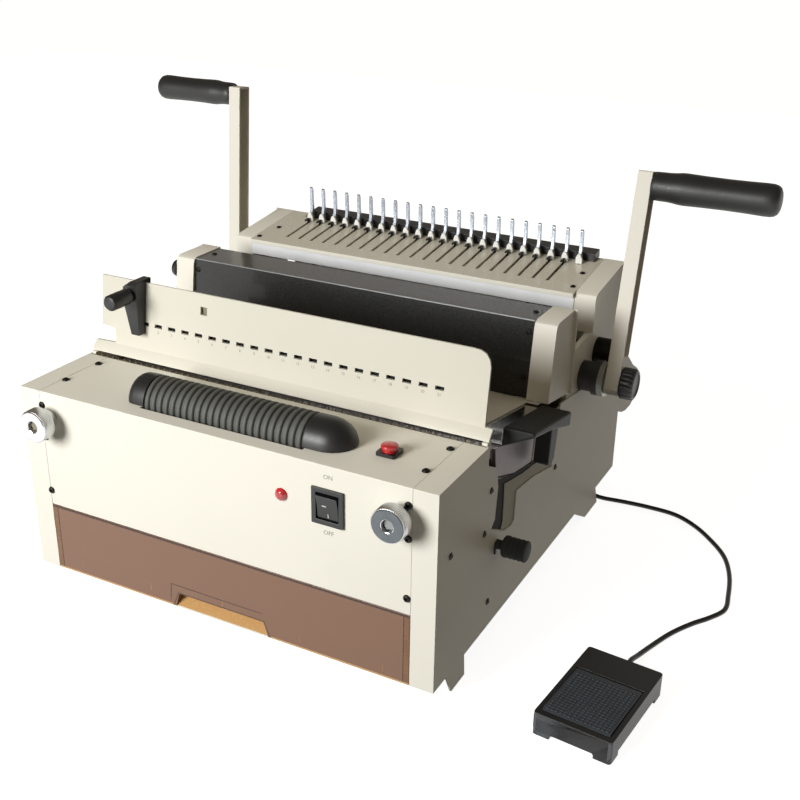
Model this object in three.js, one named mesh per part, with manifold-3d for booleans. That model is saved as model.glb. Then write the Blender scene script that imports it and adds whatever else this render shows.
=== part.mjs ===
// Desktop machine that punches loose sheets and binds them with plastic coils or combs.
// Millimetres, +Z up, front towards -Y. The foot pedal lies beside the machine on its lead.

import * as THREE from 'three';
import { mergeVertices } from 'three/addons/utils/BufferGeometryUtils.js';
import Module from 'manifold-3d';

const wasm = await Module();
wasm.setup();

// Clearances and drawing steps
const GAP = 0.3;
const OVERRUN = 5;
const UNIT = 1;
const ROUND_SIDES = 24;
const SMALL_SIDES = 14;
const PIN_SIDES = 8;
const CURVE_STEPS = 5;
const RAD = Math.PI / 180;

// Casing
const BASE_WIDTH = 390;
const HALF_WIDTH = BASE_WIDTH / 2;
const BASE_DEPTH = 430;
const DECK_HEIGHT = 191;
const UNDERSIDE = 20.5;
const SHEET = 1.5;
const SIDE_FLANGE = 20.4;
const DECK_DEPTH = 84.8;
const DRAWER_TOP = 84;
const DRAWER_SEAM = 0.4;
const FRONT_LOWER_EDGE = DRAWER_TOP + DRAWER_SEAM;
const REAR_PANEL_DROP = 55;
const PAN_LIP = 14;
const PLATE = 5;
const PLATE_FRONT = 87;

// Outline points of the side panels as shares of the base depth and of the deck height
const FRONT_FOOT_SHARES = [[0.053, 0.107], [0.077, 0], [0.135, 0], [0.13, 0.107]];
const REAR_FOOT_SHARES = [[0.726, 0.107], [0.807, 0], [0.893, 0], [0.872, 0.107]];
const TAIL_SHARES = [[1, 0.44], [1.028, 0.411], [1.063, 0.39], [1.102, 0.387], [1.14, 0.414],
  [1.163, 0.45], [1.165, 0.523], [1.135, 0.586], [1.093, 0.639], [1.047, 0.722], [1, 0.738]];
// Upper edges of the side panels: shares of the notch's back and of the fall from the deck
const NOTCH_BACK_Y = 245;
const EDGE_FALL = 33;
const RIGHT_EDGE_SHARES = [[1.2, 0.99], [1, 0.787]];
const LEFT_EDGE_SHARES = [[1.2, 0.927], [0.612, 0.115], [0.526, 0]];

// The die's way through the right panel: shares of the notch's back and of the deck height
const NOTCH_SHARES = [[1, 1.1], [1, 0.864], [0.986, 0.693], [0.949, 0.569], [0.94, 0.572],
  [0.768, 0.625], [0.684, 0.639], [0.611, 0.648], [0.604, 0.508], [0.579, 0.497], [0.523, 0.508],
  [0.4, 0.592], [0.43, 0.621], [0.444, 0.767], [0.435, 0.821], [0.418, 0.872], [0.356, 0.914],
  [0.351, 0.998], [0.348, 1.1]];

// Heavy side plates inside the casing
const PLATE_REAR_INSET = 13;
const PLATE_TAIL_DROP = 57;
const PLATE_SHOULDER = 9.5;
const PLATE_SHOULDER_DROP = 42;
const PLATE_DIP_DEPTH = 46;
const PLATE_DIP_RISE = 10;
const PLATE_STEP_DRAFT = 2.5;

// Mechanism bed: everything round the die leans with the sheets, down towards the back
const BED_TILT = 10;
const BED_FRONT = 96;
const BED_DROP = 3;
const BED_HEIGHT = DECK_HEIGHT - BED_DROP;
const REAR_DECK_START = 24.6;
const REAR_DECK_END_GAP = 6.45;
const REAR_DECK_TOP = 10;
const REAR_DECK_CORNER = 10;
const GUIDE_PLATE_START = 21.2;
const GUIDE_PLATE_LENGTH = 83;
const GUIDE_PLATE_TOP = 8.2;
const GUIDE_PLATE_LIP = 13;
const GUIDE_PLATE_LEFT_INSET = 3;
const GUIDE_PLATE_LEFT = HALF_WIDTH - GUIDE_PLATE_LEFT_INSET;
const GUIDE_PLATE_RIGHT_INSET = 2;
const GUIDE_PLATE_RIGHT = HALF_WIDTH - GUIDE_PLATE_RIGHT_INSET;
const WINDOW_START = 118;
const WINDOW_LENGTH = 42;
const WINDOW_INSET = 30;
const CAM_SLOT_MARGIN = 2;

// Punching die, its pins and what drives them
const HOLE_ROW_MARGIN = 40;
const HOLE_PITCH = 14.2875;
const HOLE_COUNT = Math.floor((BASE_WIDTH - HOLE_ROW_MARGIN * 2) / HOLE_PITCH);
const PAPER_SLOT = 2.6;
const DIE_INSET = 14;
const DIE_LENGTH = BASE_WIDTH - DIE_INSET * 2;
const DIE_TOP = -5.6;
const DIE_DEPTH = 97;
const DIE_HEIGHT = 31.8;
const DIE_BASE_PLATE = 6;
const DIE_BLOCK_DEPTH = 60;
const DIE_NOSE_BOTTOM = -13.4;
const DIE_NOSE_DEPTH = 9;
const DIE_BELLY_SHARES = [[0.14, 0.43], [0.19, 0.71], [0.23, 0.8], [0.6, 1]];
const PIN_RADIUS = 1.9;
const PIN_CLEARANCE = 0.35;
const PIN_HEIGHT = -10;
const PIN_TIP = 2;
const PIN_BAR_START = 72;
const PIN_BAR_DEPTH = 18;
const PUNCH_TRAVEL = 8;
const ANVIL_THICKNESS = 5;
const ANVIL_TOP = -1;
const ANVIL_STOP = -14.4;
const ANVIL_FOOT = 2;
const BED_PLATE = 4;
const BED_START = 55;
const BED_STEP_START = 99;
const BED_STEP_LENGTH = 28;
const BED_STEP_TOP = -28.3;
const PRESS_BAR_DEPTH = 12;
const PRESS_BAR_TOP = -8;
const PRESS_BAR_BOTTOM = -28;
const PRESS_BAR_INSET = 37;
const PRESS_BAR_HALF_WIDTH = HALF_WIDTH - PRESS_BAR_INSET;
const LEVER_INSET = 45;
const LEVER_PLACE = HALF_WIDTH - LEVER_INSET;
const LEVER_WIDTH = 8;
const LEVER_RISE_START = 134;
const LEVER_RISE_DEPTH = 12;
const LEVER_TOP = 25;
const LEVER_ARM_BOTTOM = 14.6;
const LEVER_FOOT_TOP = -16;
const FOLLOWER_RADIUS = 3;
const FOLLOWER_GAP = 0.9;

// Punch shaft with its two spiral cams and the handle on the right
const PUNCH_SHAFT_Y = 304;
const PUNCH_SHAFT_DROP = 20;
const PUNCH_SHAFT_Z = DECK_HEIGHT - PUNCH_SHAFT_DROP;
const SHAFT_RADIUS = 7;
const CAM_RADIUS = 9;
const CAM_WIDTH = 10;
const PUNCH_SWING = 85;
const CAM_REST_ANGLE = 170;
const CAM_DWELL_SHARE = 1.05;
const CAM_FALL_SHARE = 0.4;
const HUB_RADIUS = 14;
const HUB_STAND = 11;
const HUB_END = HALF_WIDTH + HUB_STAND;
const SPACER_RADIUS = 16;
const SPACER_LENGTH = 11;
const SPACER_END = HUB_END + SPACER_LENGTH;
const ARM_STEP = 1;
const ARM_START = SPACER_END + ARM_STEP;
const ARM_WIDTH = 13;
const ARM_DEPTH = 17.5;
const ARM_WALL = 2;
const PUNCH_ARM_LEAN = 12.3;
const ARM_TIP = 12;
const ARM_SOLID_LENGTH = 24;
const ARM_FOOT_RADIUS = 13;
const ARM_FOOT_SHARE = 0.4;
const PUNCH_GRIP_REACH = 176;
const GRIP_RADIUS = 14;
const GRIP_OUTREACH = 122;
const GRIP_END = ARM_START + GRIP_OUTREACH;
const GRIP_NECK_RADIUS = 12.6;
const GRIP_ROUNDING = 5;
const GRIP_NECK_SHARES = [0.12, 0.24];
const GRIP_WAIST_SHARES = [0.6, 0.96];
const GRIP_TIP_SHARES = [[2, 1], [0.8, 0.93], [0.2, 0.72], [0, 0.4]];
const GRIP_BOLT_RADIUS = 4;
const CAP_KNOB_RADIUS = 16.5;
const CAP_KNOB_LENGTH = 16.5;
const CAP_KNOB_RIBS = 18;
const CAP_KNOB_RIB_DEPTH = 1.1;

// Punch unit above the bed: black cover and the two cream end brackets
const COVER_FOOT_Y = 212;
const COVER_FOOT_DROP = 12.4;
const COVER_FOOT_Z = DECK_HEIGHT - COVER_FOOT_DROP;
const COVER_FRONT_TOP_Y = 220.5;
const COVER_RISE = 55.6;
const COVER_TOP = DECK_HEIGHT + COVER_RISE;
const COVER_BACK_Y = 260;
const BRACKET_INSET = 19;
const BRACKET_INNER = HALF_WIDTH - BRACKET_INSET;
const BRACKET_STAND = 1;
const BRACKET_OUTER = HALF_WIDTH + BRACKET_STAND;
const PUNCH_END_FRONT_Y = 208.8;
const PUNCH_END_FOOT_DROP = 12.2;
const PUNCH_END_FOOT_Z = DECK_HEIGHT - PUNCH_END_FOOT_DROP;
const PUNCH_END_TOP_Y = 217.4;
const PUNCH_END_BEND = 6;
const BEND_SHARE = 0.3;
const PUNCH_END_RISE = 56.4;
const PUNCH_END_TOP = DECK_HEIGHT + PUNCH_END_RISE;
const PUNCH_END_BACK_Y = 262;
const PUNCH_END_BACK_DROP = 21.4;
const PUNCH_END_BACK_FOOT_Z = DECK_HEIGHT - PUNCH_END_BACK_DROP;
const BRACKET_RIM = 2.6;
const RIM_OVERLAP = 1;
const DOME_Y = 222;
const DOME_RISE = 42;
const DOME_Z = DECK_HEIGHT + DOME_RISE;
const DOME_RADIUS = 9;
const DOME_HEIGHT = 8;
const DOME_CROWN_SHARES = [0.6, 0.86, 0.4];

// Comb opener
const COMB_FRONT_Y = 314;
const COMB_RISE = 52;
const COMB_FRONT_Z = DECK_HEIGHT + COMB_RISE;
const COMB_TILT = 7.2;
const COMB_TOP_DEPTH = 85;
const COMB_PLATE_SHEET = 2;
const COMB_BACK_DROP = 44;
const COMB_BACK_FOOT_Z = DECK_HEIGHT - COMB_BACK_DROP;
const SLOT_WIDTH = 3;
const SLOT_START = 18;
const SLOT_LENGTH = 45;
const PRONG_WIDTH = 2;
const PRONG_HOLE_WIDTH = 2.8;
const PRONG_HOLE_LENGTH = 8;
const PRONG_RISE = 33;
const PRONG_THICKNESS = 4;
const PRONG_BACK_LEAN = 7;
const PRONG_SHARES = [[1, 0, 0.05], [1, 0.5, 0.32], [0.9, 0.75, 0.94], [0.5, 0.75, 1], [0.1, 0.75, 0.94],
  [0, 0.45, 0.36], [0, 0, 0.12]];
const PRONG_BAR_DEPTH = 10;
const PRONG_BAR_HEIGHT = 8;
const HOOK_WIDTH = 1.8;
const HOOK_STEM = 3;
const HOOK_RISE = 5;
const HOOK_REACH = 8;
const HOOK_THICKNESS = 1.7;
const HOOK_BAR_DEPTH = 10;
const HOOK_BAR_HEIGHT = 5;
const STRIP_DROP = 14;
const STRIP_SETBACK = 2;
const REAR_CAP_SHEET = 3.5;
const REAR_CAP_STAND = 8;
const REAR_CAP_DROP = 7.5;
const REAR_CAP_SLANT = 12;
const REAR_CAP_LEFT_INSET = 21;
const REAR_CAP_RIGHT_INSET = 6;
const COMB_END_SETBACK = 3;
const COMB_END_FRONT_Y = COMB_FRONT_Y + COMB_END_SETBACK;
const COMB_END_FOOT_RISE = 16.4;
const COMB_END_FOOT_Z = DECK_HEIGHT + COMB_END_FOOT_RISE;
const COMB_END_BEND = 6;
const COMB_END_BACK_Y = COMB_FRONT_Y + COMB_TOP_DEPTH;
const COMB_END_BACK_RISE = 17;
const COMB_END_BACK_FOOT_Z = DECK_HEIGHT + COMB_END_BACK_RISE;
const COMB_SHAFT_Y = 342;
const COMB_SHAFT_DROP = 9;
const COMB_SHAFT_Z = DECK_HEIGHT - COMB_SHAFT_DROP;
const COMB_SWING = 33.5;
const CRANK_LENGTH = 52;
const CRANK_TIP_RADIUS = 3;
const CRANK_WIDTH = 6;
const CRANK_INSET = 75;
const CRANK_PLACE = HALF_WIDTH - CRANK_INSET;
const LUG_THICKNESS = 3;
const LUG_LENGTH = 11;
const LUG_REAR_GAP = 1.6;
const COMB_CAP_RADIUS = 13;
const COMB_CAP_STAND = 17;
const COMB_CAP_END = HALF_WIDTH + COMB_CAP_STAND;
const COMB_COLLAR_STAND = 11.5;
const COMB_COLLAR_END = HALF_WIDTH + COMB_COLLAR_STAND;
const LEFT_ARM_STEP = 0.5;
const LEFT_ARM_START = COMB_COLLAR_END + LEFT_ARM_STEP;
const LEFT_ARM_LEAN = 4.4;
const LEFT_ARM_TIP = 8;
const LEFT_GRIP_REACH = 198;
const LEFT_GRIP_OUTREACH = 105;
const LEFT_GRIP_END = LEFT_ARM_START + LEFT_GRIP_OUTREACH;
const LEFT_GRIP_RADIUS = 12.5;

// Paper plate, its trough and the coil throat in front of it
const TROUGH_FRONT_Y = 88.4;
const TROUGH_FRONT_RISE = 2.9;
const TROUGH_FRONT_Z = DECK_HEIGHT + TROUGH_FRONT_RISE;
const TROUGH_BEND_Y = 89.4;
const TROUGH_BEND_RISE = 5.4;
const TROUGH_BEND_Z = DECK_HEIGHT + TROUGH_BEND_RISE;
const CREASE_Y = 94.7;
const CREASE_RISE = 10.7;
const CREASE_Z = DECK_HEIGHT + CREASE_RISE;
const PAPER_PLATE_TOP_Y = 102.4;
const PAPER_PLATE_RISE = 70.6;
const PAPER_PLATE_TOP_Z = DECK_HEIGHT + PAPER_PLATE_RISE;
const PAPER_PLATE_INSET = 8;
const PAPER_PLATE_HALF_WIDTH = HALF_WIDTH - PAPER_PLATE_INSET;
const TROUGH_INSET = 1.4;
const TROUGH_HALF_WIDTH = HALF_WIDTH - TROUGH_INSET;
const PAPER_PLATE_STEP = 15;
const PAPER_PLATE_STEP_RISE = 26;
const PAPER_PLATE_STEP_Z = DECK_HEIGHT + PAPER_PLATE_STEP_RISE;
const PAPER_PLATE_CORNER = 12;
const DASH_RISE = 30;
const DASH_Z = DECK_HEIGHT + DASH_RISE;
const DASH_HEIGHT = 2;
const DASH_LENGTH = 5.4;
const DASH_OFFSET = 5;
const SIGHT_INSET = 117.5;
const SIGHT_X = SIGHT_INSET - HALF_WIDTH;
const SIGHT_SIZE = 6.5;
const SIGHT_RISE = 56;
const SIGHT_Z = DECK_HEIGHT + SIGHT_RISE;
const STRIP_TOOTH_PITCH = 6.35;
const STRIP_TOOTH_WIDTH = 2.6;
const STRIP_TOOTH_HEIGHT = 2.6;
const STRIP_FOOT_DROP = 13;
const STRIP_FOOT_Z = DECK_HEIGHT - STRIP_FOOT_DROP;
const STRIP_SHEET = 1;

// Edge guide clamped on the paper plate
const GUIDE_INSET = 56.5;
const GUIDE_X = GUIDE_INSET - HALF_WIDTH;
const GUIDE_WING_WIDTH = 14;
const GUIDE_FOOT_RISE = 26;
const GUIDE_FOOT_Z = DECK_HEIGHT + GUIDE_FOOT_RISE;
const GUIDE_TOP_RISE = 75.5;
const GUIDE_TOP_Z = DECK_HEIGHT + GUIDE_TOP_RISE;
const GUIDE_FRONT_Y = 88;
const GUIDE_HOOK = 3;
const GUIDE_REAR_LEG = 26;
const GUIDE_REAR_THICKNESS = 3;
const GUIDE_KNOB_INSET = 7.5;
const GUIDE_KNOB_X = GUIDE_X - GUIDE_KNOB_INSET;
const GUIDE_KNOB_RISE = 62;
const GUIDE_KNOB_Z = DECK_HEIGHT + GUIDE_KNOB_RISE;
const GUIDE_KNOB_RADIUS = 7;
const GUIDE_KNOB_END_Y = 62;
const GUIDE_STEM_RADIUS = 2.5;
const GUIDE_WING_SHARES = [[0, 0], [0.62, 0], [1, 0.52], [1, 0.86], [0.4, 1], [0, 1]];
const GUIDE_KNOB_CHAMFER = 1;
const GUIDE_KNOB_NECK_SHARES = [0.4, 0.8];

// Coil roller on the front deck
const ROLLER_Y = 36;
const ROLLER_RADIUS = 20;
const ROLLER_LEFT_ROOM = 117;
const ROLLER_RIGHT_ROOM = 123;
const ROLLER_START_X = ROLLER_LEFT_ROOM - HALF_WIDTH;
const ROLLER_RIB_PITCH = 6.25;
const ROLLER_RIBS = Math.round((BASE_WIDTH - ROLLER_LEFT_ROOM - ROLLER_RIGHT_ROOM) / ROLLER_RIB_PITCH);
const ROLLER_END_X = ROLLER_START_X + ROLLER_RIBS * ROLLER_RIB_PITCH;
const ROLLER_GROOVE_DEPTH = 2.2;
const ROLLER_RIB_SHARES = [0, 0.22, 0.72];
const ROLLER_SIDES = 18;
const ROLLER_SHAFT_RADIUS = 4;
const ROLLER_SLOT_MARGIN = 2;
const SLEEVE_BORE_GAP = 0.3;
const LEFT_CAP_LENGTH = 19.5;
const RIGHT_CAP_LENGTH = 36;
const CAP_WALL = 2.5;
const DOME_CURVE_SHARE = 0.62;
const CAP_CURVE_SHARE = 0.45;
const CAP_DROP_SHARE = 0.42;
const BEARING_WIDTH = 9;
const BEARING_HALF_DEPTH = 8;
const BEARING_RISE = 9;
const BEARING_DROP = 12;
const BEARING_FOOT = 13;
const BEARING_FOOT_HEIGHT = 2;
const PULLEY_STEP = 20;
const PULLEY_X = ROLLER_END_X + PULLEY_STEP;
const PULLEY_WIDTH = 8;
const PULLEY_RADIUS = 11;
const BELT_WIDTH = 4;
const BELT_THICKNESS = 1.4;
const PULLEY_RIM = 1.8;
const MOTOR_Y = 50;
const MOTOR_DROP = 63;
const MOTOR_Z = DECK_HEIGHT - MOTOR_DROP;
const MOTOR_RADIUS = 20;
const MOTOR_LENGTH = 62;
const MOTOR_RIM_SHARE = 0.9;
const MOTOR_PULLEY_RADIUS = 7;
const MOTOR_BRACKET_WIDTH = 4;

// Controls on the deck and on the front
const BUTTON_INSET = 60.7;
const BUTTON_X = HALF_WIDTH - BUTTON_INSET;
const BUTTON_Y = 40;
const BEZEL_SIZE = 16.4;
const BEZEL_HEIGHT = 2.5;
const BEZEL_BODY_RADIUS = 6.6;
const BEZEL_BODY_DEPTH = 16;
const BUTTON_RADIUS = 5.9;
const BUTTON_FLANGE_RADIUS = 7;
const BUTTON_RISE = 5.5;
const BUTTON_TRAVEL = 2.5;
const BUTTON_WELL = 6;
const BUTTON_CROWN_SHARES = [0.3, 0.94, 0.7];
const LAMP_INSET = 131.5;
const LAMP_X = HALF_WIDTH - LAMP_INSET;
const LAMP_DROP = 34;
const LAMP_Z = DECK_HEIGHT - LAMP_DROP;
const LAMP_RADIUS = 5.6;
const LAMP_HEIGHT = 3.2;
const LAMP_CROWN_SHARES = [0.5, 0.6, 0.86];
const LAMP_BODY_RADIUS = 4;
const LAMP_BODY_DEPTH = 14;
const SWITCH_INSET = 90.3;
const SWITCH_X = HALF_WIDTH - SWITCH_INSET;
const SWITCH_DROP = 33.8;
const SWITCH_Z = DECK_HEIGHT - SWITCH_DROP;
const SWITCH_WIDTH = 27.4;
const SWITCH_HEIGHT = 30.4;
const SWITCH_BEZEL = 2;
const SWITCH_RIM = 4;
const SWITCH_DEPTH = 20;
const SWITCH_WELL = 9;
const ROCKER_TILT = 9;
const ROCKER_THICKNESS = 5;
const ROCKER_FIT = 0.6;
const ROCKER_BACK_SHARE = 0.9;
const ROCKER_KEEL_SHARE = 0.7;
const FRONT_KNOB_INSET = 30;
const FRONT_KNOB_X = HALF_WIDTH - FRONT_KNOB_INSET;
const FRONT_KNOB_DROP = 23;
const FRONT_KNOB_Z = DECK_HEIGHT - FRONT_KNOB_DROP;
const FRONT_KNOB_RADIUS = 14;
const FRONT_KNOB_FACE_Y = -21;
const FRONT_KNOB_RIM = 12;
const FRONT_KNOB_TEETH = 22;
const FRONT_KNOB_TOOTH = 0.8;
const FRONT_KNOB_DISH = 2;
const FRONT_KNOB_CHAMFER = 1.6;
const FRONT_KNOB_BORE = 5;
const FRONT_KNOB_BORE_DEPTH = 7;
const FRONT_KNOB_NECK_RADIUS = 8;
const FRONT_KNOB_SHAFT_RADIUS = 3.5;
const FRONT_KNOB_SHAFT_END = 14;

// Chip drawer of smoked plastic
const DRAWER_WALL = 3;
const DRAWER_DEPTH = 250;
const DRAWER_TRAY_HEIGHT = 52;
const DRAWER_SIDE_INSET = 5;
const PULL_BOTTOM_HALF = 47.5;
const PULL_TOP_HALF = 42;
const PULL_HEIGHT = 13;
const PULL_DEPTH = 16;

// Die pull, in the leaning frame of the bed
const PULL_SLAB_START = 17;
const PULL_SLAB_LENGTH = 87;
const PULL_SLAB_TOP = 12;
const PULL_SLAB_THICKNESS = 9;
const PULL_REACH = 30;
const PULL_NOSE_DROP = 8;
const PULL_LEG_DEPTH = 17;
const PULL_LEG_FOOT = -34;
const PULL_LEG_REACH = 13;
const PULL_ROUNDING = 7;

// Sprung plunger low on the right side
const LOCK_Y = 112;
const LOCK_HEIGHT_SHARE = 0.487;
const LOCK_Z = LOCK_HEIGHT_SHARE * DECK_HEIGHT;
const LOCK_KNOB_STAND = 4.5;
const LOCK_KNOB_START = HALF_WIDTH + LOCK_KNOB_STAND;
const LOCK_KNOB_LENGTH = 25;
const LOCK_KNOB_RADIUS = 12;
const LOCK_STEM_RADIUS = 4;
const LOCK_STEM_INSET = 17;
const LOCK_STEM_START = HALF_WIDTH - LOCK_STEM_INSET;
const LOCK_WAIST = 1;

// Foot pedal
const PEDAL_ASIDE = 110;
const PEDAL_X = HALF_WIDTH + PEDAL_ASIDE;
const PEDAL_Y = 64;
const PEDAL_TURN = -5.6;
const PEDAL_WIDTH = 63.5;
const PEDAL_LENGTH = 98;
const PEDAL_HEIGHT = 20;
const PEDAL_BELLY = 4;
const PEDAL_FOOT_LENGTH = 14;
const PEDAL_ROUNDING = 3;
const PEDAL_WALL = 3;
const TREAD_WIDTH = 55;
const TREAD_LENGTH = 62;
const TREAD_FRONT = 6;
const TREAD_THICKNESS = 3;
const TREAD_PROUD = 1.2;
const TREAD_WELL = 12;
const TREAD_KNUCKLE_RADIUS = 2.5;
const BOOT_RADIUS = 4.4;
const BOOT_LENGTH = 12;
const BOOT_COLLAR_SHARE = 0.3;
const BOOT_X = -1.5;
const BOOT_Z = 7.5;

// Pedal lead: its route is a list of points chosen by hand along the floor
const CORD_RADIUS = 2.2;
const CORD_SIDES = 10;
const CORD_STEPS = 44;
const GLAND_RADIUS = 5.5;
const GLAND_LENGTH = 14;
const GLAND_COLLAR_SHARE = 0.45;
const GLAND_NECK = 4;
const GLAND_INSET = 41;
const GLAND_Y = BASE_DEPTH - GLAND_INSET;
const GLAND_Z = 8;
const GLAND_LUG_INSET = 39;
const GLAND_LUG_X = HALF_WIDTH - GLAND_LUG_INSET;
const GLAND_LUG_WIDTH = 22;
const GLAND_LUG_FOOT = 2;
const CORD_ROUTE = [[172.3, 389, 8], [178, 389, 8], [185, 389.1, 6], [192, 389.4, 3.4], [200, 390, 2.5],
  [220, 392.7, 2.4], [247, 394.3, 2.4], [275, 392, 2.4], [297, 380, 2.4], [318, 360.4, 2.4],
  [337, 336, 2.4], [349, 306, 2.4], [356, 272, 2.4], [358.5, 247, 2.4], [350, 229, 2.4],
  [339, 213, 2.4], [327, 191, 2.4], [317.5, 165, 2.7], [312, 144, 4.6], [309.7, 131.5, 7.1],
  [309.36, 125.1, 7.5]];

// Finishes, as the colours of the object in plain studio light
const CREAM = finish(0xe4dfcf, 0.55, 0);
const BLACK_PAINT = finish(0x17171a, 0.45, 0.1);
const BLACK_PLASTIC = finish(0x1c1c1e, 0.5, 0);
const RUBBER = finish(0x3a3b3c, 0.8, 0);
const CHROME = finish(0xc9ced2, 0.2, 1);
const STEEL = finish(0x9a9da0, 0.38, 1);
const GREY_STEEL = finish(0x8d8a8c, 0.5, 0.6);
const SMOKED = finish(0x7a5a48, 0.25, 0);
const RED = finish(0xc62a2e, 0.35, 0);
const WHITE_PLASTIC = finish(0xf1f1ee, 0.5, 0);
const TREAD_RUBBER = finish(0x2c3137, 0.7, 0);

/** A painted, plated or moulded surface. */
function finish(color, roughness, metalness) {
  return new THREE.MeshStandardMaterial({ color, roughness, metalness });
}

/** The outline through the corners, each [u, v] or [u, v, radius of the corner]. */
function outline(corners) {
  const shape = new THREE.Shape();
  const count = corners.length;
  corners.forEach(([u, v, radius = 0], index) => {
    const here = new THREE.Vector2(u, v);
    const before = new THREE.Vector2(...corners[(index + count - 1) % count].slice(0, 2));
    const after = new THREE.Vector2(...corners[(index + 1) % count].slice(0, 2));
    const start = here.clone().addScaledVector(before.sub(here).normalize(), radius);
    const end = here.clone().addScaledVector(after.sub(here).normalize(), radius);
    if (index === 0) {
      shape.moveTo(start.x, start.y);
    } else {
      shape.lineTo(start.x, start.y);
    }
    if (radius > 0) {
      shape.quadraticCurveTo(here.x, here.y, end.x, end.y);
    }
  });
  return shape;
}

/** Corners of a round outline. */
function circle(u, v, radius, sides = ROUND_SIDES) {
  return Array.from({ length: sides }, (_, index) => {
    const angle = (2 * Math.PI * index) / sides;
    return [u + radius * Math.cos(angle), v + radius * Math.sin(angle)];
  });
}

/** Share points turned into real places. */
function placed(shares, width, height, u = 0, v = 0) {
  return shares.map(([a, b]) => [u + a * width, v + b * height]);
}

/** Corners of a sheet that follows a folded line and lies on the left of it. */
function folded(line, thickness) {
  const path = line.map(([u, v]) => new THREE.Vector2(u, v));
  const normals = path.slice(1).map((point, index) => {
    const along = point.clone().sub(path[index]).normalize();
    return new THREE.Vector2(-along.y, along.x);
  });
  const back = path.map((point, index) => {
    const first = normals[Math.max(index - 1, 0)];
    const second = normals[Math.min(index, normals.length - 1)];
    const sum = first.clone().add(second);
    return point.clone().addScaledVector(sum, (2 * thickness) / sum.lengthSq());
  });
  return [...path, ...back.reverse()].map((point) => [point.x, point.y]);
}

/** Corners moved inwards, square to the edges on both sides; they run clockwise. */
function inset(corners, distance) {
  const path = corners.map(([u, v]) => new THREE.Vector2(u, v));
  const normals = path.map((point, index) => {
    const along = path[(index + 1) % path.length].clone().sub(point).normalize();
    return new THREE.Vector2(along.y, -along.x);
  });
  return path.map((point, index) => {
    const sum = normals[(index + path.length - 1) % path.length].clone().add(normals[index]);
    const moved = point.clone().addScaledVector(sum, (2 * distance) / sum.lengthSq());
    return [moved.x, moved.y];
  });
}

/** An outline swept from one place to another; place() turns (u, v, w) into (x, y, z). */
function sweep(corners, from, to, place) {
  const settings = { depth: UNIT, bevelEnabled: false, curveSegments: CURVE_STEPS };
  const geometry = new THREE.ExtrudeGeometry(outline(corners), settings);
  const points = geometry.attributes.position;
  for (let i = 0; i < points.count; i += 1) {
    const w = points.getZ(i) > UNIT / 2 ? to : from;
    points.setXYZ(i, ...place(points.getX(i), points.getY(i), w));
  }
  return geometry;
}

/** A (y, z) outline that runs along X. */
function alongX(corners, from, to) {
  return sweep(corners, from, to, (u, v, w) => [w, u, v]);
}

/** An (x, z) outline that runs along Y. */
function alongY(corners, from, to) {
  return sweep(corners, from, to, (u, v, w) => [u, w, v]);
}

/** An (x, y) outline that runs along Z. */
function alongZ(corners, from, to) {
  return sweep(corners, from, to, (u, v, w) => [u, v, w]);
}

/** A block between two opposite corners. */
function block([x0, y0, z0], [x1, y1, z1]) {
  return alongZ([[x0, y0], [x1, y0], [x1, y1], [x0, y1]], z0, z1);
}

/** A [place along the axis, radius] profile turned round an axis that runs along X. */
function turnedX(profile, y, z, sides = ROUND_SIDES) {
  const points = profile.map(([along, radius]) => new THREE.Vector2(radius, along));
  return new THREE.LatheGeometry(points, sides).rotateZ(-Math.PI / 2).translate(0, y, z);
}

/** The same profile round an axis that runs along Y. */
function turnedY(profile, x, z, sides = ROUND_SIDES) {
  const points = profile.map(([along, radius]) => new THREE.Vector2(radius, along));
  return new THREE.LatheGeometry(points, sides).translate(x, 0, z);
}

/** The same profile round an axis that runs along Z. */
function turnedZ(profile, x, y, sides = ROUND_SIDES) {
  const points = profile.map(([along, radius]) => new THREE.Vector2(radius, along));
  return new THREE.LatheGeometry(points, sides).rotateX(Math.PI / 2).translate(x, y, 0);
}

/** Profile of a plain round bar. */
function bar(from, to, radius) {
  return [[from, 0], [from, radius], [to, radius], [to, 0]];
}

/** A closed solid from a geometry, with its faces pointing out whichever way its profile ran. */
function solid(shape) {
  if (!(shape instanceof THREE.BufferGeometry)) {
    return shape;
  }
  const bare = shape.clone();
  bare.deleteAttribute('normal');
  bare.deleteAttribute('uv');
  const merged = mergeVertices(bare);
  const vertProperties = new Float32Array(merged.attributes.position.array);
  const corners = Array.from(merged.index.array);
  const triangles = [];
  for (let i = 0; i < corners.length; i += 3) {
    const [a, b, c] = corners.slice(i, i + 3);
    if (a !== b && b !== c && c !== a) {
      triangles.push([a, b, c]);
    }
  }
  const at = (index) => new THREE.Vector3().fromArray(vertProperties, 3 * index);
  const volume = triangles.reduce((sum, [a, b, c]) => sum + at(a).dot(at(b).cross(at(c))), 0);
  const ordered = volume < 0 ? triangles.map(([a, b, c]) => [a, c, b]) : triangles;
  const triVerts = new Uint32Array(ordered.flat());
  return new wasm.Manifold(new wasm.Mesh({ numProp: 3, vertProperties, triVerts }));
}

/** Several solids joined into one. */
function join(...shapes) {
  return shapes.map(solid).reduce((sum, shape) => sum.add(shape));
}

/** A solid with others cut out of it. */
function cut(body, ...tools) {
  return tools.map(solid).reduce((rest, tool) => rest.subtract(tool), solid(body));
}

/** What two solids share. */
function common(first, second) {
  return solid(first).intersect(solid(second));
}

/** Puts a named piece into a group. */
function piece(group, name, shape, material) {
  const { vertProperties, triVerts } = solid(shape).getMesh();
  const geometry = new THREE.BufferGeometry();
  geometry.setAttribute('position', new THREE.BufferAttribute(new Float32Array(vertProperties), 3));
  geometry.setIndex(new THREE.BufferAttribute(new Uint32Array(triVerts), 1));
  geometry.computeVertexNormals();
  const mesh = new THREE.Mesh(geometry, material);
  mesh.name = name;
  group.add(mesh);
  return mesh;
}

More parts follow.
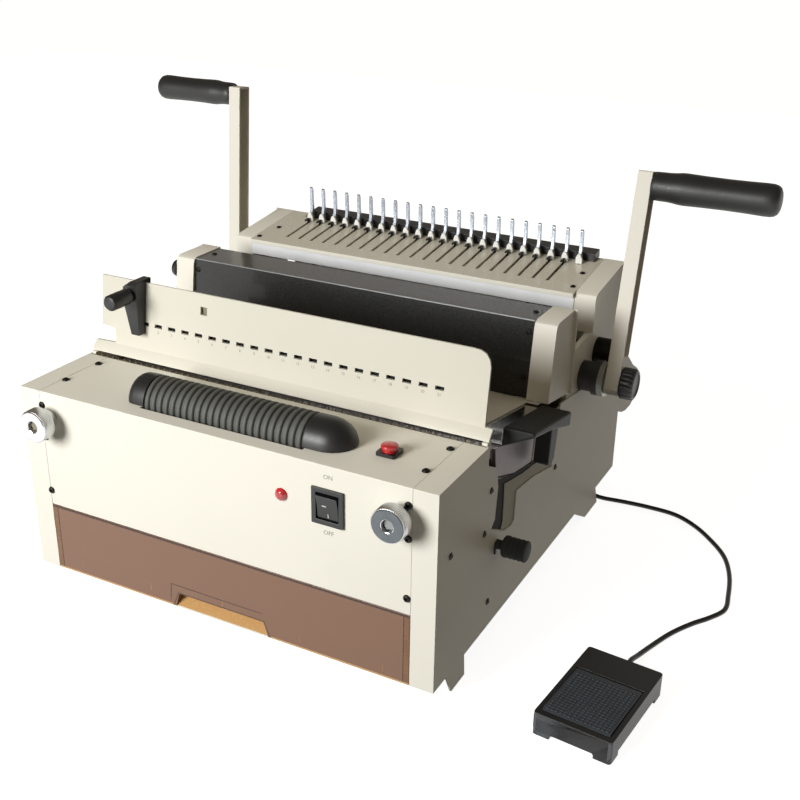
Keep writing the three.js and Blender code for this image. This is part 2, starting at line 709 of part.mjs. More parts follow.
/** The two ends of a run along X on one side of the machine, in rising order. */
function onSide(side, inner, outer) {
  return side > 0 ? [inner, outer] : [-outer, -inner];
}

/** Places of a pattern, evenly spaced round its middle. */
function spread(count, pitch) {
  return Array.from({ length: count }, (_, index) => (index - (count - 1) / 2) * pitch);
}

const PANEL_INNER = HALF_WIDTH - SHEET;
const PLATE_OUTER = PANEL_INNER - GAP;
const PLATE_INNER = PLATE_OUTER - PLATE;
const BETWEEN_PLATES = PLATE_INNER - GAP;
const FLANGE_EDGE = HALF_WIDTH - SIDE_FLANGE;
const TILT = BED_TILT * RAD;

/** A place of the leaning bed given in the machine's own (y, z). */
function fromBed(along, up) {
  return [
    BED_FRONT + along * Math.cos(TILT) + up * Math.sin(TILT),
    BED_HEIGHT - along * Math.sin(TILT) + up * Math.cos(TILT),
  ];
}

/** A place of the machine given in the leaning bed's (along, up). */
function toBed(y, z) {
  const dy = y - BED_FRONT;
  const dz = z - BED_HEIGHT;
  return [dy * Math.cos(TILT) - dz * Math.sin(TILT), dy * Math.sin(TILT) + dz * Math.cos(TILT)];
}

/** Side panel: outer wall with folded front and top edges, feet and the round tail. */
function sidePanel(side) {
  const [from, to] = onSide(side, PANEL_INNER, HALF_WIDTH);
  const shares = side > 0 ? RIGHT_EDGE_SHARES : LEFT_EDGE_SHARES;
  const edge = placed(shares, NOTCH_BACK_Y, -EDGE_FALL, 0, DECK_HEIGHT);
  const low = [...FRONT_FOOT_SHARES, ...REAR_FOOT_SHARES, [1, UNDERSIDE / DECK_HEIGHT]];
  const corners = [
    [0, UNDERSIDE],
    ...placed(low, BASE_DEPTH, DECK_HEIGHT),
    ...placed(TAIL_SHARES, BASE_DEPTH, DECK_HEIGHT),
    ...edge,
    ...(side > 0 ? [[edge.at(-1)[0], DECK_HEIGHT]] : []),
    [0, DECK_HEIGHT],
  ];
  const flange = onSide(side, FLANGE_EDGE, HALF_WIDTH);
  const front = block([flange[0], 0, UNDERSIDE], [flange[1], SHEET, DECK_HEIGHT]);
  const top = block([flange[0], 0, DECK_HEIGHT - SHEET], [flange[1], DECK_DEPTH, DECK_HEIGHT]);
  const shell = join(alongX(corners, from, to), front, top);
  if (side < 0) {
    return shell;
  }
  const reach = [from - OVERRUN, to + OVERRUN];
  const hubRelief = turnedX(bar(...reach, HUB_RADIUS + GAP), PUNCH_SHAFT_Y, PUNCH_SHAFT_Z);
  const lock = turnedX(bar(...reach, LOCK_STEM_RADIUS + GAP), LOCK_Y, LOCK_Z, SMALL_SIDES);
  return cut(shell, alongX(placed(NOTCH_SHARES, NOTCH_BACK_Y, DECK_HEIGHT), ...reach), hubRelief, lock);
}

/** Heavy plate that carries the shafts, with the die's way out on the right. */
function sidePlate(side) {
  const [from, to] = onSide(side, PLATE_INNER, PLATE_OUTER);
  const foot = UNDERSIDE + SHEET + GAP;
  const end = BASE_DEPTH - PLATE_REAR_INSET;
  const top = COMB_END_FOOT_Z - GAP * 2;
  const dipBack = PUNCH_END_BACK_Y + PLATE_STEP_DRAFT / 2;
  const dip = PUNCH_END_BACK_FOOT_Z - PLATE_SHOULDER - GAP * 2 - PLATE_DIP_RISE / 2;
  const corners = [
    [PLATE_FRONT, foot],
    [end, foot],
    [end, DECK_HEIGHT - PLATE_TAIL_DROP],
    [COMB_END_BACK_Y + PLATE_SHOULDER, DECK_HEIGHT - PLATE_SHOULDER_DROP],
    [COMB_END_BACK_Y + GAP * 2, top],
    [COMB_END_FRONT_Y - GAP * 2, top],
    [dipBack + PLATE_STEP_DRAFT, top - PLATE_STEP_DRAFT * 2],
    [dipBack, dip],
    [dipBack - PLATE_DIP_DEPTH, dip + PLATE_DIP_RISE],
  ];
  const post = [PLATE_FRONT, TROUGH_FRONT_Z - 3 * GAP];
  const postBack = [TROUGH_BEND_Y + PAPER_SLOT, TROUGH_FRONT_Z - 3 * GAP];
  const crest = GUIDE_PLATE_TOP - SHEET - GAP;
  const plateBack = fromBed(GUIDE_PLATE_START + GUIDE_PLATE_LENGTH + OVERRUN, crest);
  const crestStart = fromBed(0, crest);
  const body = alongX([...corners, plateBack, crestStart, postBack, post], from, to);
  const reach = [from - OVERRUN, to + OVERRUN];
  const bores = [
    turnedX(bar(...reach, SHAFT_RADIUS + GAP), PUNCH_SHAFT_Y, PUNCH_SHAFT_Z, ROUND_SIDES),
    turnedX(bar(...reach, SHAFT_RADIUS + GAP), COMB_SHAFT_Y, COMB_SHAFT_Z, ROUND_SIDES),
  ];
  if (side < 0) {
    return cut(body, ...bores);
  }
  const lock = turnedX(bar(...reach, LOCK_STEM_RADIUS + GAP), LOCK_Y, LOCK_Z, SMALL_SIDES);
  return cut(body, ...bores, lock, alongX(dieWay(), ...reach));
}

/** The opening, round the die's section, through which the die leaves to the right. */
function dieWay() {
  const bottom = DIE_TOP - DIE_HEIGHT;
  const open = HUB_END;
  const around = [
    [-PAPER_SLOT + GAP, open],
    [-PAPER_SLOT + GAP, DIE_NOSE_BOTTOM - PAPER_SLOT],
    ...placed(DIE_BELLY_SHARES, DIE_DEPTH, -DIE_HEIGHT, -SHEET, DIE_TOP - SHEET),
    [DIE_DEPTH + SHEET, bottom - SHEET],
    [DIE_DEPTH + SHEET, open],
  ];
  return around.map(([along, up]) => fromBed(along, up));
}

/** Front cover: folded sheet over the front and the deck, with the cut-outs of what shows. */
function frontCover() {
  const half = FLANGE_EDGE - GAP;
  const under = DECK_HEIGHT - SHEET;
  const fold = folded([[SHEET, FRONT_LOWER_EDGE], [SHEET, under], [DECK_DEPTH, under]], SHEET);
  const room = ROLLER_RADIUS + ROLLER_SLOT_MARGIN;
  const slot = block(
    [ROLLER_START_X - ROLLER_SLOT_MARGIN, ROLLER_Y - room, DECK_HEIGHT - OVERRUN],
    [ROLLER_END_X + ROLLER_SLOT_MARGIN, ROLLER_Y + room, DECK_HEIGHT + OVERRUN]);
  const post = BEARING_HALF_DEPTH + GAP * 2;
  const posts = block(
    [ROLLER_START_X - LEFT_CAP_LENGTH + CAP_WALL, ROLLER_Y - post, DECK_HEIGHT - OVERRUN],
    [PULLEY_X, ROLLER_Y + post, DECK_HEIGHT + OVERRUN]);
  const loop = PULLEY_RADIUS + BELT_THICKNESS + ROLLER_SLOT_MARGIN;
  const belt = block(
    [PULLEY_X - PULLEY_WIDTH / 2 - GAP, ROLLER_Y - loop, DECK_HEIGHT - OVERRUN],
    [PULLEY_X + PULLEY_WIDTH / 2 + GAP * 2, ROLLER_Y + loop, DECK_HEIGHT + OVERRUN]);
  const button = turnedZ(bar(DECK_HEIGHT - OVERRUN, DECK_HEIGHT + OVERRUN, BEZEL_BODY_RADIUS + GAP),
    BUTTON_X, BUTTON_Y, SMALL_SIDES);
  const lamp = turnedY(bar(-OVERRUN, OVERRUN, LAMP_BODY_RADIUS + GAP), LAMP_X, LAMP_Z, SMALL_SIDES);
  const opening = [SWITCH_WIDTH / 2 - SWITCH_BEZEL + GAP, SWITCH_HEIGHT / 2 - SWITCH_BEZEL + GAP];
  const rocker = block(
    [SWITCH_X - opening[0], -OVERRUN, SWITCH_Z - opening[1]],
    [SWITCH_X + opening[0], OVERRUN, SWITCH_Z + opening[1]]);
  const shafts = [-1, 1].map((side) => turnedY(
    bar(-OVERRUN, OVERRUN, FRONT_KNOB_SHAFT_RADIUS + GAP), side * FRONT_KNOB_X, FRONT_KNOB_Z, SMALL_SIDES));
  return cut(alongX(fold, -half, half), slot, posts, belt, button, lamp, rocker, ...shafts);
}

/** Base pan with turned-up edges and the lug that holds the lead's gland. */
function basePan() {
  const half = PANEL_INNER - GAP;
  const back = BASE_DEPTH - SHEET - GAP;
  const floor = block([-half, SHEET + GAP, UNDERSIDE - SHEET], [half, back, UNDERSIDE]);
  const lips = [-1, 1].map((side) => {
    const [from, to] = onSide(side, PANEL_INNER - GAP - SHEET, PANEL_INNER - GAP);
    return block([from, SHEET + GAP, UNDERSIDE - SHEET], [to, PLATE_FRONT - GAP, UNDERSIDE + PAN_LIP]);
  });
  const lug = block(
    [GLAND_LUG_X, GLAND_Y - GLAND_LUG_WIDTH / 2, GLAND_LUG_FOOT],
    [GLAND_LUG_X + SHEET, GLAND_Y + GLAND_LUG_WIDTH / 2, UNDERSIDE]);
  const hole = turnedX(bar(GLAND_LUG_X - OVERRUN, GLAND_LUG_X + SHEET + OVERRUN, GLAND_NECK + GAP),
    GLAND_Y, GLAND_Z, SMALL_SIDES);
  return cut(join(floor, ...lips, lug), hole);
}

/** Chip drawer: open tray behind a flush front with a hollow finger pull. */
function chipDrawer() {
  const half = FLANGE_EDGE - GAP;
  const inner = half - DRAWER_SIDE_INSET;
  const foot = UNDERSIDE + GAP;
  const back = DRAWER_DEPTH;
  const face = block([-half, 0, foot], [half, DRAWER_WALL, DRAWER_TOP]);
  const box = block([-inner, 0, foot], [inner, back, foot + DRAWER_TRAY_HEIGHT]);
  const hollow = block(
    [-inner + DRAWER_WALL, DRAWER_WALL, foot + DRAWER_WALL],
    [inner - DRAWER_WALL, back - DRAWER_WALL, foot + DRAWER_TRAY_HEIGHT + OVERRUN]);
  const grown = (by) => [
    [-PULL_BOTTOM_HALF - by, foot - OVERRUN],
    [PULL_BOTTOM_HALF + by, foot - OVERRUN],
    [PULL_TOP_HALF + by, foot + PULL_HEIGHT + by],
    [-PULL_TOP_HALF - by, foot + PULL_HEIGHT + by],
  ];
  const housing = common(alongY(grown(DRAWER_WALL), 0, PULL_DEPTH + DRAWER_WALL), box);
  const recess = alongY(grown(0), -OVERRUN, PULL_DEPTH);
  return cut(join(face, cut(box, hollow), housing), recess);
}

/** Deck behind the throat, in the leaning frame, with slots that the cams dip through. */
function rearDeck(camAlong) {
  const half = BETWEEN_PLATES;
  const start = REAR_DECK_START;
  const end = (BASE_DEPTH - REAR_DECK_END_GAP - BED_FRONT) / Math.cos(TILT);
  const corner = GUIDE_PLATE_START + GUIDE_PLATE_LENGTH + OVERRUN;
  const sheet = alongZ([
    [-half, start], [half - REAR_DECK_CORNER, start], [half - REAR_DECK_CORNER, corner], [half, corner],
    [half, end], [-half, end],
  ], REAR_DECK_TOP - SHEET, REAR_DECK_TOP);
  const window = block(
    [WINDOW_INSET - HALF_WIDTH, WINDOW_START, REAR_DECK_TOP - OVERRUN],
    [HALF_WIDTH - WINDOW_INSET, WINDOW_START + WINDOW_LENGTH, REAR_DECK_TOP + OVERRUN]);
  const reach = CAM_RADIUS + PUNCH_TRAVEL + CAM_SLOT_MARGIN;
  const wide = CAM_WIDTH / 2 + CAM_SLOT_MARGIN;
  const camSlots = [-LEVER_PLACE, LEVER_PLACE].map((x) => block(
    [x - wide, camAlong - reach, REAR_DECK_TOP - OVERRUN],
    [x + wide, camAlong + reach, REAR_DECK_TOP + OVERRUN]));
  return cut(sheet, window, ...camSlots);
}

/** Polished guide plate over the die, its front edge bent down into the throat. */
function guidePlate() {
  const back = GUIDE_PLATE_START + GUIDE_PLATE_LENGTH;
  const line = [
    [GUIDE_PLATE_START, GUIDE_PLATE_TOP - GUIDE_PLATE_LIP],
    [GUIDE_PLATE_START, GUIDE_PLATE_TOP],
    [back, GUIDE_PLATE_TOP],
  ];
  const sheet = alongX(folded(line.reverse(), SHEET), -GUIDE_PLATE_LEFT, GUIDE_PLATE_RIGHT);
  const over = block(
    [-GUIDE_PLATE_LEFT - OVERRUN, 0, -GUIDE_PLATE_LIP],
    [-BETWEEN_PLATES, back + OVERRUN, GUIDE_PLATE_TOP - SHEET]);
  return cut(sheet, over);
}

/** Corners of the die's section, in the leaning frame. */
function dieSection() {
  const bottom = DIE_TOP - DIE_HEIGHT;
  return [
    [0, DIE_TOP],
    [0, DIE_NOSE_BOTTOM],
    [DIE_NOSE_DEPTH, DIE_NOSE_BOTTOM],
    ...placed(DIE_BELLY_SHARES, DIE_DEPTH, -DIE_HEIGHT, 0, DIE_TOP),
    [PIN_BAR_START + PIN_BAR_DEPTH, bottom],
    [PIN_BAR_START + PIN_BAR_DEPTH, bottom + DIE_BASE_PLATE],
    [DIE_BLOCK_DEPTH, bottom + DIE_BASE_PLATE],
    [DIE_BLOCK_DEPTH, DIE_TOP],
  ];
}

/** A row of round bores or pins along the leaning bed. */
function pinRow(from, to, radius) {
  return spread(HOLE_COUNT, HOLE_PITCH).map((x) => turnedY(bar(from, to, radius), x, PIN_HEIGHT, PIN_SIDES));
}

/** The die: guide block with one bore for each pin, base plate and end plate. */
function punchDie() {
  const left = -DIE_LENGTH / 2;
  const bottom = DIE_TOP - DIE_HEIGHT;
  const body = alongX(dieSection(), left, DIE_LENGTH / 2 + DIE_NOSE_DEPTH);
  const end = alongX([
    [DIE_NOSE_DEPTH, DIE_TOP],
    ...placed(DIE_BELLY_SHARES, DIE_DEPTH, -DIE_HEIGHT, 0, DIE_TOP),
    [DIE_DEPTH, bottom],
    [DIE_DEPTH, DIE_TOP],
  ], DIE_LENGTH / 2 + DIE_NOSE_DEPTH - SHEET, GUIDE_PLATE_RIGHT);
  return cut(join(body, end), ...pinRow(-OVERRUN, DIE_BLOCK_DEPTH + OVERRUN, PIN_RADIUS + PIN_CLEARANCE));
}

/** Pin bar with its punch pins, which rides in the die. */
function pinBar() {
  const half = DIE_LENGTH / 2 - GAP;
  const bottom = DIE_TOP - DIE_HEIGHT + DIE_BASE_PLATE + GAP;
  const body = block([-half, PIN_BAR_START, bottom], [half, PIN_BAR_START + PIN_BAR_DEPTH, DIE_TOP]);
  return join(body, ...pinRow(PIN_TIP, PIN_BAR_START + GAP, PIN_RADIUS));
}

/** Anvil bar in front of the sheets, with the pins' bores and the ledge the sheets stand on. */
function throatAnvil() {
  const corners = [
    [-PAPER_SLOT - ANVIL_THICKNESS, ANVIL_TOP],
    [-PAPER_SLOT - ANVIL_THICKNESS, ANVIL_STOP - ANVIL_FOOT],
    [-GAP, ANVIL_STOP - ANVIL_FOOT],
    [-GAP, ANVIL_STOP],
    [-PAPER_SLOT, ANVIL_STOP],
    [-PAPER_SLOT, ANVIL_TOP],
  ];
  const body = alongX(corners, -BETWEEN_PLATES, BETWEEN_PLATES);
  const bores = pinRow(-PAPER_SLOT - ANVIL_THICKNESS - OVERRUN, 0, PIN_RADIUS + PIN_CLEARANCE);
  return cut(body, ...bores);
}

/** Bed that the die slides on, with the raised step that carries the press bar. */
function dieBed() {
  const low = DIE_TOP - DIE_HEIGHT - GAP;
  const stepEnd = BED_STEP_START + BED_STEP_LENGTH;
  const corners = [
    [BED_START, low], [BED_START, low - BED_PLATE], [stepEnd, low - BED_PLATE],
    [stepEnd, BED_STEP_TOP], [BED_STEP_START, BED_STEP_TOP], [BED_STEP_START, low],
  ];
  return alongX(corners, -BETWEEN_PLATES, BETWEEN_PLATES);
}

/** Press bar behind the pins, with the two levers that reach back to the cams. */
function pressBar(cam) {
  const start = PIN_BAR_START + PIN_BAR_DEPTH + GAP;
  const beam = block(
    [-PRESS_BAR_HALF_WIDTH, start, PRESS_BAR_BOTTOM],
    [PRESS_BAR_HALF_WIDTH, start + PRESS_BAR_DEPTH, PRESS_BAR_TOP]);
  const nose = cam[0] - CAM_RADIUS - FOLLOWER_GAP - FOLLOWER_RADIUS;
  const riseEnd = LEVER_RISE_START + LEVER_RISE_DEPTH;
  const corners = [
    [start, PRESS_BAR_BOTTOM],
    [LEVER_RISE_START, PRESS_BAR_BOTTOM, LEVER_RISE_DEPTH / 2],
    [riseEnd, PRESS_BAR_BOTTOM + LEVER_RISE_DEPTH, LEVER_RISE_DEPTH / 2],
    [riseEnd, LEVER_ARM_BOTTOM, LEVER_RISE_DEPTH / 3],
    [nose, cam[1] - FOLLOWER_RADIUS],
    ...circle(nose, cam[1], FOLLOWER_RADIUS, ROUND_SIDES).slice(ROUND_SIDES * 3 / 4 + 1),
    ...circle(nose, cam[1], FOLLOWER_RADIUS, ROUND_SIDES).slice(0, ROUND_SIDES / 4 + 1),
    [riseEnd, LEVER_TOP],
    [LEVER_RISE_START, LEVER_TOP, LEVER_RISE_DEPTH / 3],
    [LEVER_RISE_START, LEVER_FOOT_TOP + LEVER_RISE_DEPTH / 2, LEVER_RISE_DEPTH / 3],
    [start + PRESS_BAR_DEPTH, LEVER_FOOT_TOP],
  ];
  const levers = [-1, 1].map((side) => {
    const middle = side * LEVER_PLACE;
    return alongX(corners, middle - LEVER_WIDTH / 2, middle + LEVER_WIDTH / 2);
  });
  return join(beam, ...levers);
}

/** Spiral cam: it pushes its follower forward by the same amount for each degree of the handle. */
function cam(middle) {
  const swing = PUNCH_SWING * RAD;
  const turn = 2 * Math.PI;
  const corners = Array.from({ length: ROUND_SIDES * 2 }, (_, index) => {
    const back = (turn * index) / (ROUND_SIDES * 2);
    const growth = Math.min(back / swing, 1) * PUNCH_TRAVEL;
    const fall = Math.max(0, 1 - Math.max(0, back - swing * CAM_DWELL_SHARE) / (swing * CAM_FALL_SHARE));
    const radius = CAM_RADIUS + growth * fall;
    const angle = CAM_REST_ANGLE * RAD - back;
    return [PUNCH_SHAFT_Y + radius * Math.cos(angle), PUNCH_SHAFT_Z + radius * Math.sin(angle)];
  });
  return alongX(corners, middle - CAM_WIDTH / 2, middle + CAM_WIDTH / 2);
}

/** Punch shaft with its cams and the collar that spaces the handle. */
function punchShaft() {
  const end = ARM_START + ARM_WALL - GAP;
  const shaft = turnedX(bar(-PLATE_OUTER, end, SHAFT_RADIUS), PUNCH_SHAFT_Y, PUNCH_SHAFT_Z);
  const spacer = turnedX(bar(HUB_END + GAP, SPACER_END, SPACER_RADIUS), PUNCH_SHAFT_Y, PUNCH_SHAFT_Z);
  return join(shaft, spacer, cam(-LEVER_PLACE), cam(LEVER_PLACE));
}

/** Black bush that the punch shaft turns in, outside the right side plate. */
function punchHub() {
  const from = PLATE_OUTER + GAP;
  return cut(
    turnedX(bar(from, HUB_END, HUB_RADIUS), PUNCH_SHAFT_Y, PUNCH_SHAFT_Z),
    turnedX(bar(from - OVERRUN, HUB_END + OVERRUN, SHAFT_RADIUS + GAP), PUNCH_SHAFT_Y, PUNCH_SHAFT_Z));
}

/** Handle arm, drawn upright: a channel open to the right, solid and round at its foot. */
function handleArm(side, from, length, bolt) {
  const half = ARM_DEPTH / 2;
  const to = from + ARM_WIDTH;
  const foot = [
    ...circle(0, 0, ARM_FOOT_RADIUS).filter(([, v]) => v < -half * ARM_FOOT_SHARE),
  ];
  const right = foot.filter(([u]) => u >= 0).sort((a, b) => a[1] - b[1]);
  const left = foot.filter(([u]) => u < 0).sort((a, b) => b[1] - a[1]);
  const corners = [
    ...left, ...right,
    [half, ARM_FOOT_RADIUS], [half, length, ARM_WALL], [-half, length, ARM_WALL], [-half, ARM_FOOT_RADIUS],
  ];
  const channel = block(
    [from + ARM_WALL, -half + ARM_WALL, ARM_SOLID_LENGTH],
    [to + OVERRUN, half - ARM_WALL, length - ARM_WALL]);
  const bore = side > 0
    ? turnedX(bar(from - OVERRUN, from + ARM_WALL, SHAFT_RADIUS + GAP), 0, 0)
    : turnedX(bar(to - ARM_WALL, to + OVERRUN, SHAFT_RADIUS + GAP), 0, 0);
  const boltHole = turnedX(bar(from - OVERRUN, to + OVERRUN, GRIP_BOLT_RADIUS + GAP), 0, bolt, SMALL_SIDES);
  return cut(alongX(corners, from, to), channel, bore, boltHole);
}

/** Moulded grip with a slightly waisted middle and the bolt that holds it to its arm. */
function grip(armFace, boltStart, end, radius, reach) {
  const neck = radius * GRIP_NECK_RADIUS / GRIP_RADIUS;
  const away = Math.sign(end - armFace);
  const length = Math.abs(end - armFace);
  const profile = [
    [armFace, 0],
    [armFace, neck],
    [armFace + away * length * GRIP_NECK_SHARES[0], neck],
    [armFace + away * length * GRIP_NECK_SHARES[1], radius],
    [armFace + away * length * GRIP_WAIST_SHARES[0], radius * GRIP_WAIST_SHARES[1]],
    ...placed(GRIP_TIP_SHARES, -away * GRIP_ROUNDING, radius, end, 0),
    [end, 0],
  ];
  const handle = turnedX(profile, 0, reach);
  const bolt = [Math.min(boltStart, armFace), Math.max(boltStart, armFace)];
  return join(handle, turnedX(bar(...bolt, GRIP_BOLT_RADIUS), 0, reach, SMALL_SIDES));
}

/** Ribbed outline of a moulded or knurled knob. */
function ribbed(u, v, radius, ribs, depth) {
  return Array.from({ length: ribs * 3 }, (_, index) => {
    const angle = (2 * Math.PI * index) / (ribs * 3);
    const reach = index % 3 < 2 ? radius : radius - depth;
    return [u + reach * Math.cos(angle), v + reach * Math.sin(angle)];
  });
}

/** Ribbed black knob that closes the punch handle's shaft. */
function capKnob() {
  const start = ARM_START + ARM_WIDTH + GAP;
  const end = start + CAP_KNOB_LENGTH;
  const rim = ribbed(0, 0, CAP_KNOB_RADIUS, CAP_KNOB_RIBS, CAP_KNOB_RIB_DEPTH);
  const body = alongX(rim, start, end - CAP_KNOB_RIB_DEPTH);
  const face = turnedX([
    [start, 0],
    [start, CAP_KNOB_RADIUS - CAP_KNOB_RIB_DEPTH],
    [end - CAP_KNOB_RIB_DEPTH, CAP_KNOB_RADIUS - CAP_KNOB_RIB_DEPTH],
    [end, CAP_KNOB_RADIUS - 3 * CAP_KNOB_RIB_DEPTH],
    [end, 0],
  ], 0, 0);
  return join(body, face);
}

/** Black cover of the punch unit, folded from one sheet and open below and at the back. */
function punchCover() {
  const line = [
    [COVER_FOOT_Y, COVER_FOOT_Z],
    [COVER_FRONT_TOP_Y, COVER_TOP],
    [COVER_BACK_Y, COVER_TOP],
    [COVER_BACK_Y, COVER_TOP - DOME_RADIUS],
  ];
  const half = BRACKET_INNER - GAP;
  return alongX(folded(line.reverse(), SHEET), -half, half);
}

/** End bracket: a shallow folded box, open towards the machine, with a rim round its back. */
function endBracket(side, skin, backY) {
  const [from, to] = onSide(side, BRACKET_INNER, BRACKET_OUTER);
  const hollow = onSide(side, BRACKET_INNER - OVERRUN, BRACKET_OUTER - SHEET);
  const rim = onSide(side, BRACKET_OUTER - RIM_OVERLAP, BRACKET_OUTER + BRACKET_RIM);
  const [low, high] = [skin.at(-1)[1], skin.at(-2)[1]];
  const box = cut(alongX(skin, from, to), alongX(inset(skin, SHEET), ...hollow));
  return join(box, block([rim[0], backY - SHEET, low], [rim[1], backY, high]));
}

/** End bracket of the punch unit. */
function punchEnd(side) {
  return endBracket(side, [
    [PUNCH_END_FRONT_Y, PUNCH_END_FOOT_Z],
    [PUNCH_END_TOP_Y, PUNCH_END_TOP - PUNCH_END_BEND],
    [PUNCH_END_TOP_Y + PUNCH_END_BEND * BEND_SHARE, PUNCH_END_TOP - PUNCH_END_BEND * BEND_SHARE],
    [PUNCH_END_TOP_Y + PUNCH_END_BEND, PUNCH_END_TOP],
    [PUNCH_END_BACK_Y, PUNCH_END_TOP],
    [PUNCH_END_BACK_Y, PUNCH_END_BACK_FOOT_Z],
  ], PUNCH_END_BACK_Y);
}

/** Height of the comb opener's top plate above a place, on its upper face. */
function combTop(y) {
  return COMB_FRONT_Z + (y - COMB_FRONT_Y) * Math.tan(COMB_TILT * RAD);
}

/** Slotted top plate of the comb opener, folded down behind to the deck, in the plate's frame. */
function combPlate() {
  const half = BRACKET_INNER - GAP;
  const sheet = block([-half, 0, -COMB_PLATE_SHEET], [half, COMB_TOP_DEPTH, 0]);
  const backY = COMB_FRONT_Y + COMB_TOP_DEPTH * Math.cos(COMB_TILT * RAD);
  const back = block(
    [-half, backY - COMB_PLATE_SHEET, COMB_BACK_FOOT_Z],
    [half, backY, combTop(backY) - GAP])
    .translate(0, -COMB_FRONT_Y, -COMB_FRONT_Z)
    .rotateX(-COMB_TILT * RAD);
  const slots = spread(HOLE_COUNT, HOLE_PITCH).map((x) => block(
    [x - SLOT_WIDTH / 2, SLOT_START, -OVERRUN], [x + SLOT_WIDTH / 2, SLOT_START + SLOT_LENGTH, OVERRUN]));
  const holes = prongPlaces().map((x) => block(
    [x - PRONG_HOLE_WIDTH / 2, SLOT_START + SLOT_LENGTH - GAP, -OVERRUN],
    [x + PRONG_HOLE_WIDTH / 2, SLOT_START + SLOT_LENGTH + PRONG_HOLE_LENGTH, OVERRUN]));
  return cut(join(sheet, back), ...slots, ...holes);
}

/** Places of the fixed prongs: one for each slot and one more at the right. */
function prongPlaces() {
  const places = spread(HOLE_COUNT, HOLE_PITCH);
  return [...places, places.at(-1) + HOLE_PITCH];
}

/** Fixed prongs on their bar under the plate, in the plate's frame. */
function prongComb() {
  const base = SLOT_START + SLOT_LENGTH + (PRONG_HOLE_LENGTH - PRONG_THICKNESS) / 2 - GAP;
  const low = -COMB_PLATE_SHEET - GAP;
  const corners = [
    [base, low - GAP],
    [base + PRONG_THICKNESS, low - GAP],
    ...PRONG_SHARES.map(([across, lean, rise]) => [
      base + PRONG_THICKNESS * across + PRONG_BACK_LEAN * lean, PRONG_RISE * rise]),
  ];
  const prongs = prongPlaces().map((x) => alongX(corners, x - PRONG_WIDTH / 2, x + PRONG_WIDTH / 2));
  const half = BRACKET_INNER - SHEET;
  const beam = block(
    [-half, base, low - PRONG_BAR_HEIGHT],
    [half, base + PRONG_BAR_DEPTH, low]);
  return join(beam, ...prongs);
}

/** Hook carriage: one hook for each slot on a sliding bar, and the lugs that the cranks push. */
function hookCarriage(crankTip) {
  const stem = SLOT_START + SLOT_LENGTH - HOOK_STEM - GAP * 2;
  const top = -COMB_PLATE_SHEET - GAP;
  const corners = [
    [stem, top - GAP],
    [stem + HOOK_STEM, top - GAP],
    [stem + HOOK_STEM, HOOK_RISE, HOOK_STEM / 2],
    [stem + HOOK_STEM - HOOK_REACH, HOOK_RISE],
    [stem + HOOK_STEM - HOOK_REACH, HOOK_RISE - HOOK_THICKNESS],
    [stem, HOOK_RISE - HOOK_THICKNESS],
  ];
  const hooks = spread(HOLE_COUNT, HOLE_PITCH)
    .map((x) => alongX(corners, x - HOOK_WIDTH / 2, x + HOOK_WIDTH / 2));
  const half = (HOLE_COUNT * HOLE_PITCH) / 2;
  const bottom = top - HOOK_BAR_HEIGHT;
  const beam = block([-half, stem + HOOK_STEM - HOOK_BAR_DEPTH, bottom], [half, stem + HOOK_STEM, top]);
  const front = crankTip - CRANK_TIP_RADIUS - GAP - GAP / 2;
  const rear = crankTip + CRANK_TIP_RADIUS + LUG_REAR_GAP;
  const lugs = [-1, 1].flatMap((side) => {
    const x = side * CRANK_PLACE;
    const span = [x - CRANK_WIDTH, x + CRANK_WIDTH];
    return [
      block([span[0], front - LUG_THICKNESS, bottom - LUG_LENGTH], [span[1], front, bottom + GAP]),
      block([span[0], rear, bottom - LUG_LENGTH], [span[1], rear + LUG_THICKNESS, bottom + GAP]),
      block([span[0], front - LUG_THICKNESS, bottom], [span[1], stem, top]),
    ];
  });
  return join(beam, ...lugs, ...hooks);
}

/** End bracket of the comb opener. */
function combEnd(side) {
  const bendTop = combTop(COMB_END_FRONT_Y + COMB_END_BEND);
  return endBracket(side, [
    [COMB_END_FRONT_Y, COMB_END_FOOT_Z],
    [COMB_END_FRONT_Y, bendTop - COMB_END_BEND],
    [COMB_END_FRONT_Y + COMB_END_BEND * BEND_SHARE, bendTop - COMB_END_BEND * BEND_SHARE],
    [COMB_END_FRONT_Y + COMB_END_BEND, bendTop],
    [COMB_END_BACK_Y, combTop(COMB_END_BACK_Y)],
    [COMB_END_BACK_Y, COMB_END_BACK_FOOT_Z],
  ], COMB_END_BACK_Y);
}

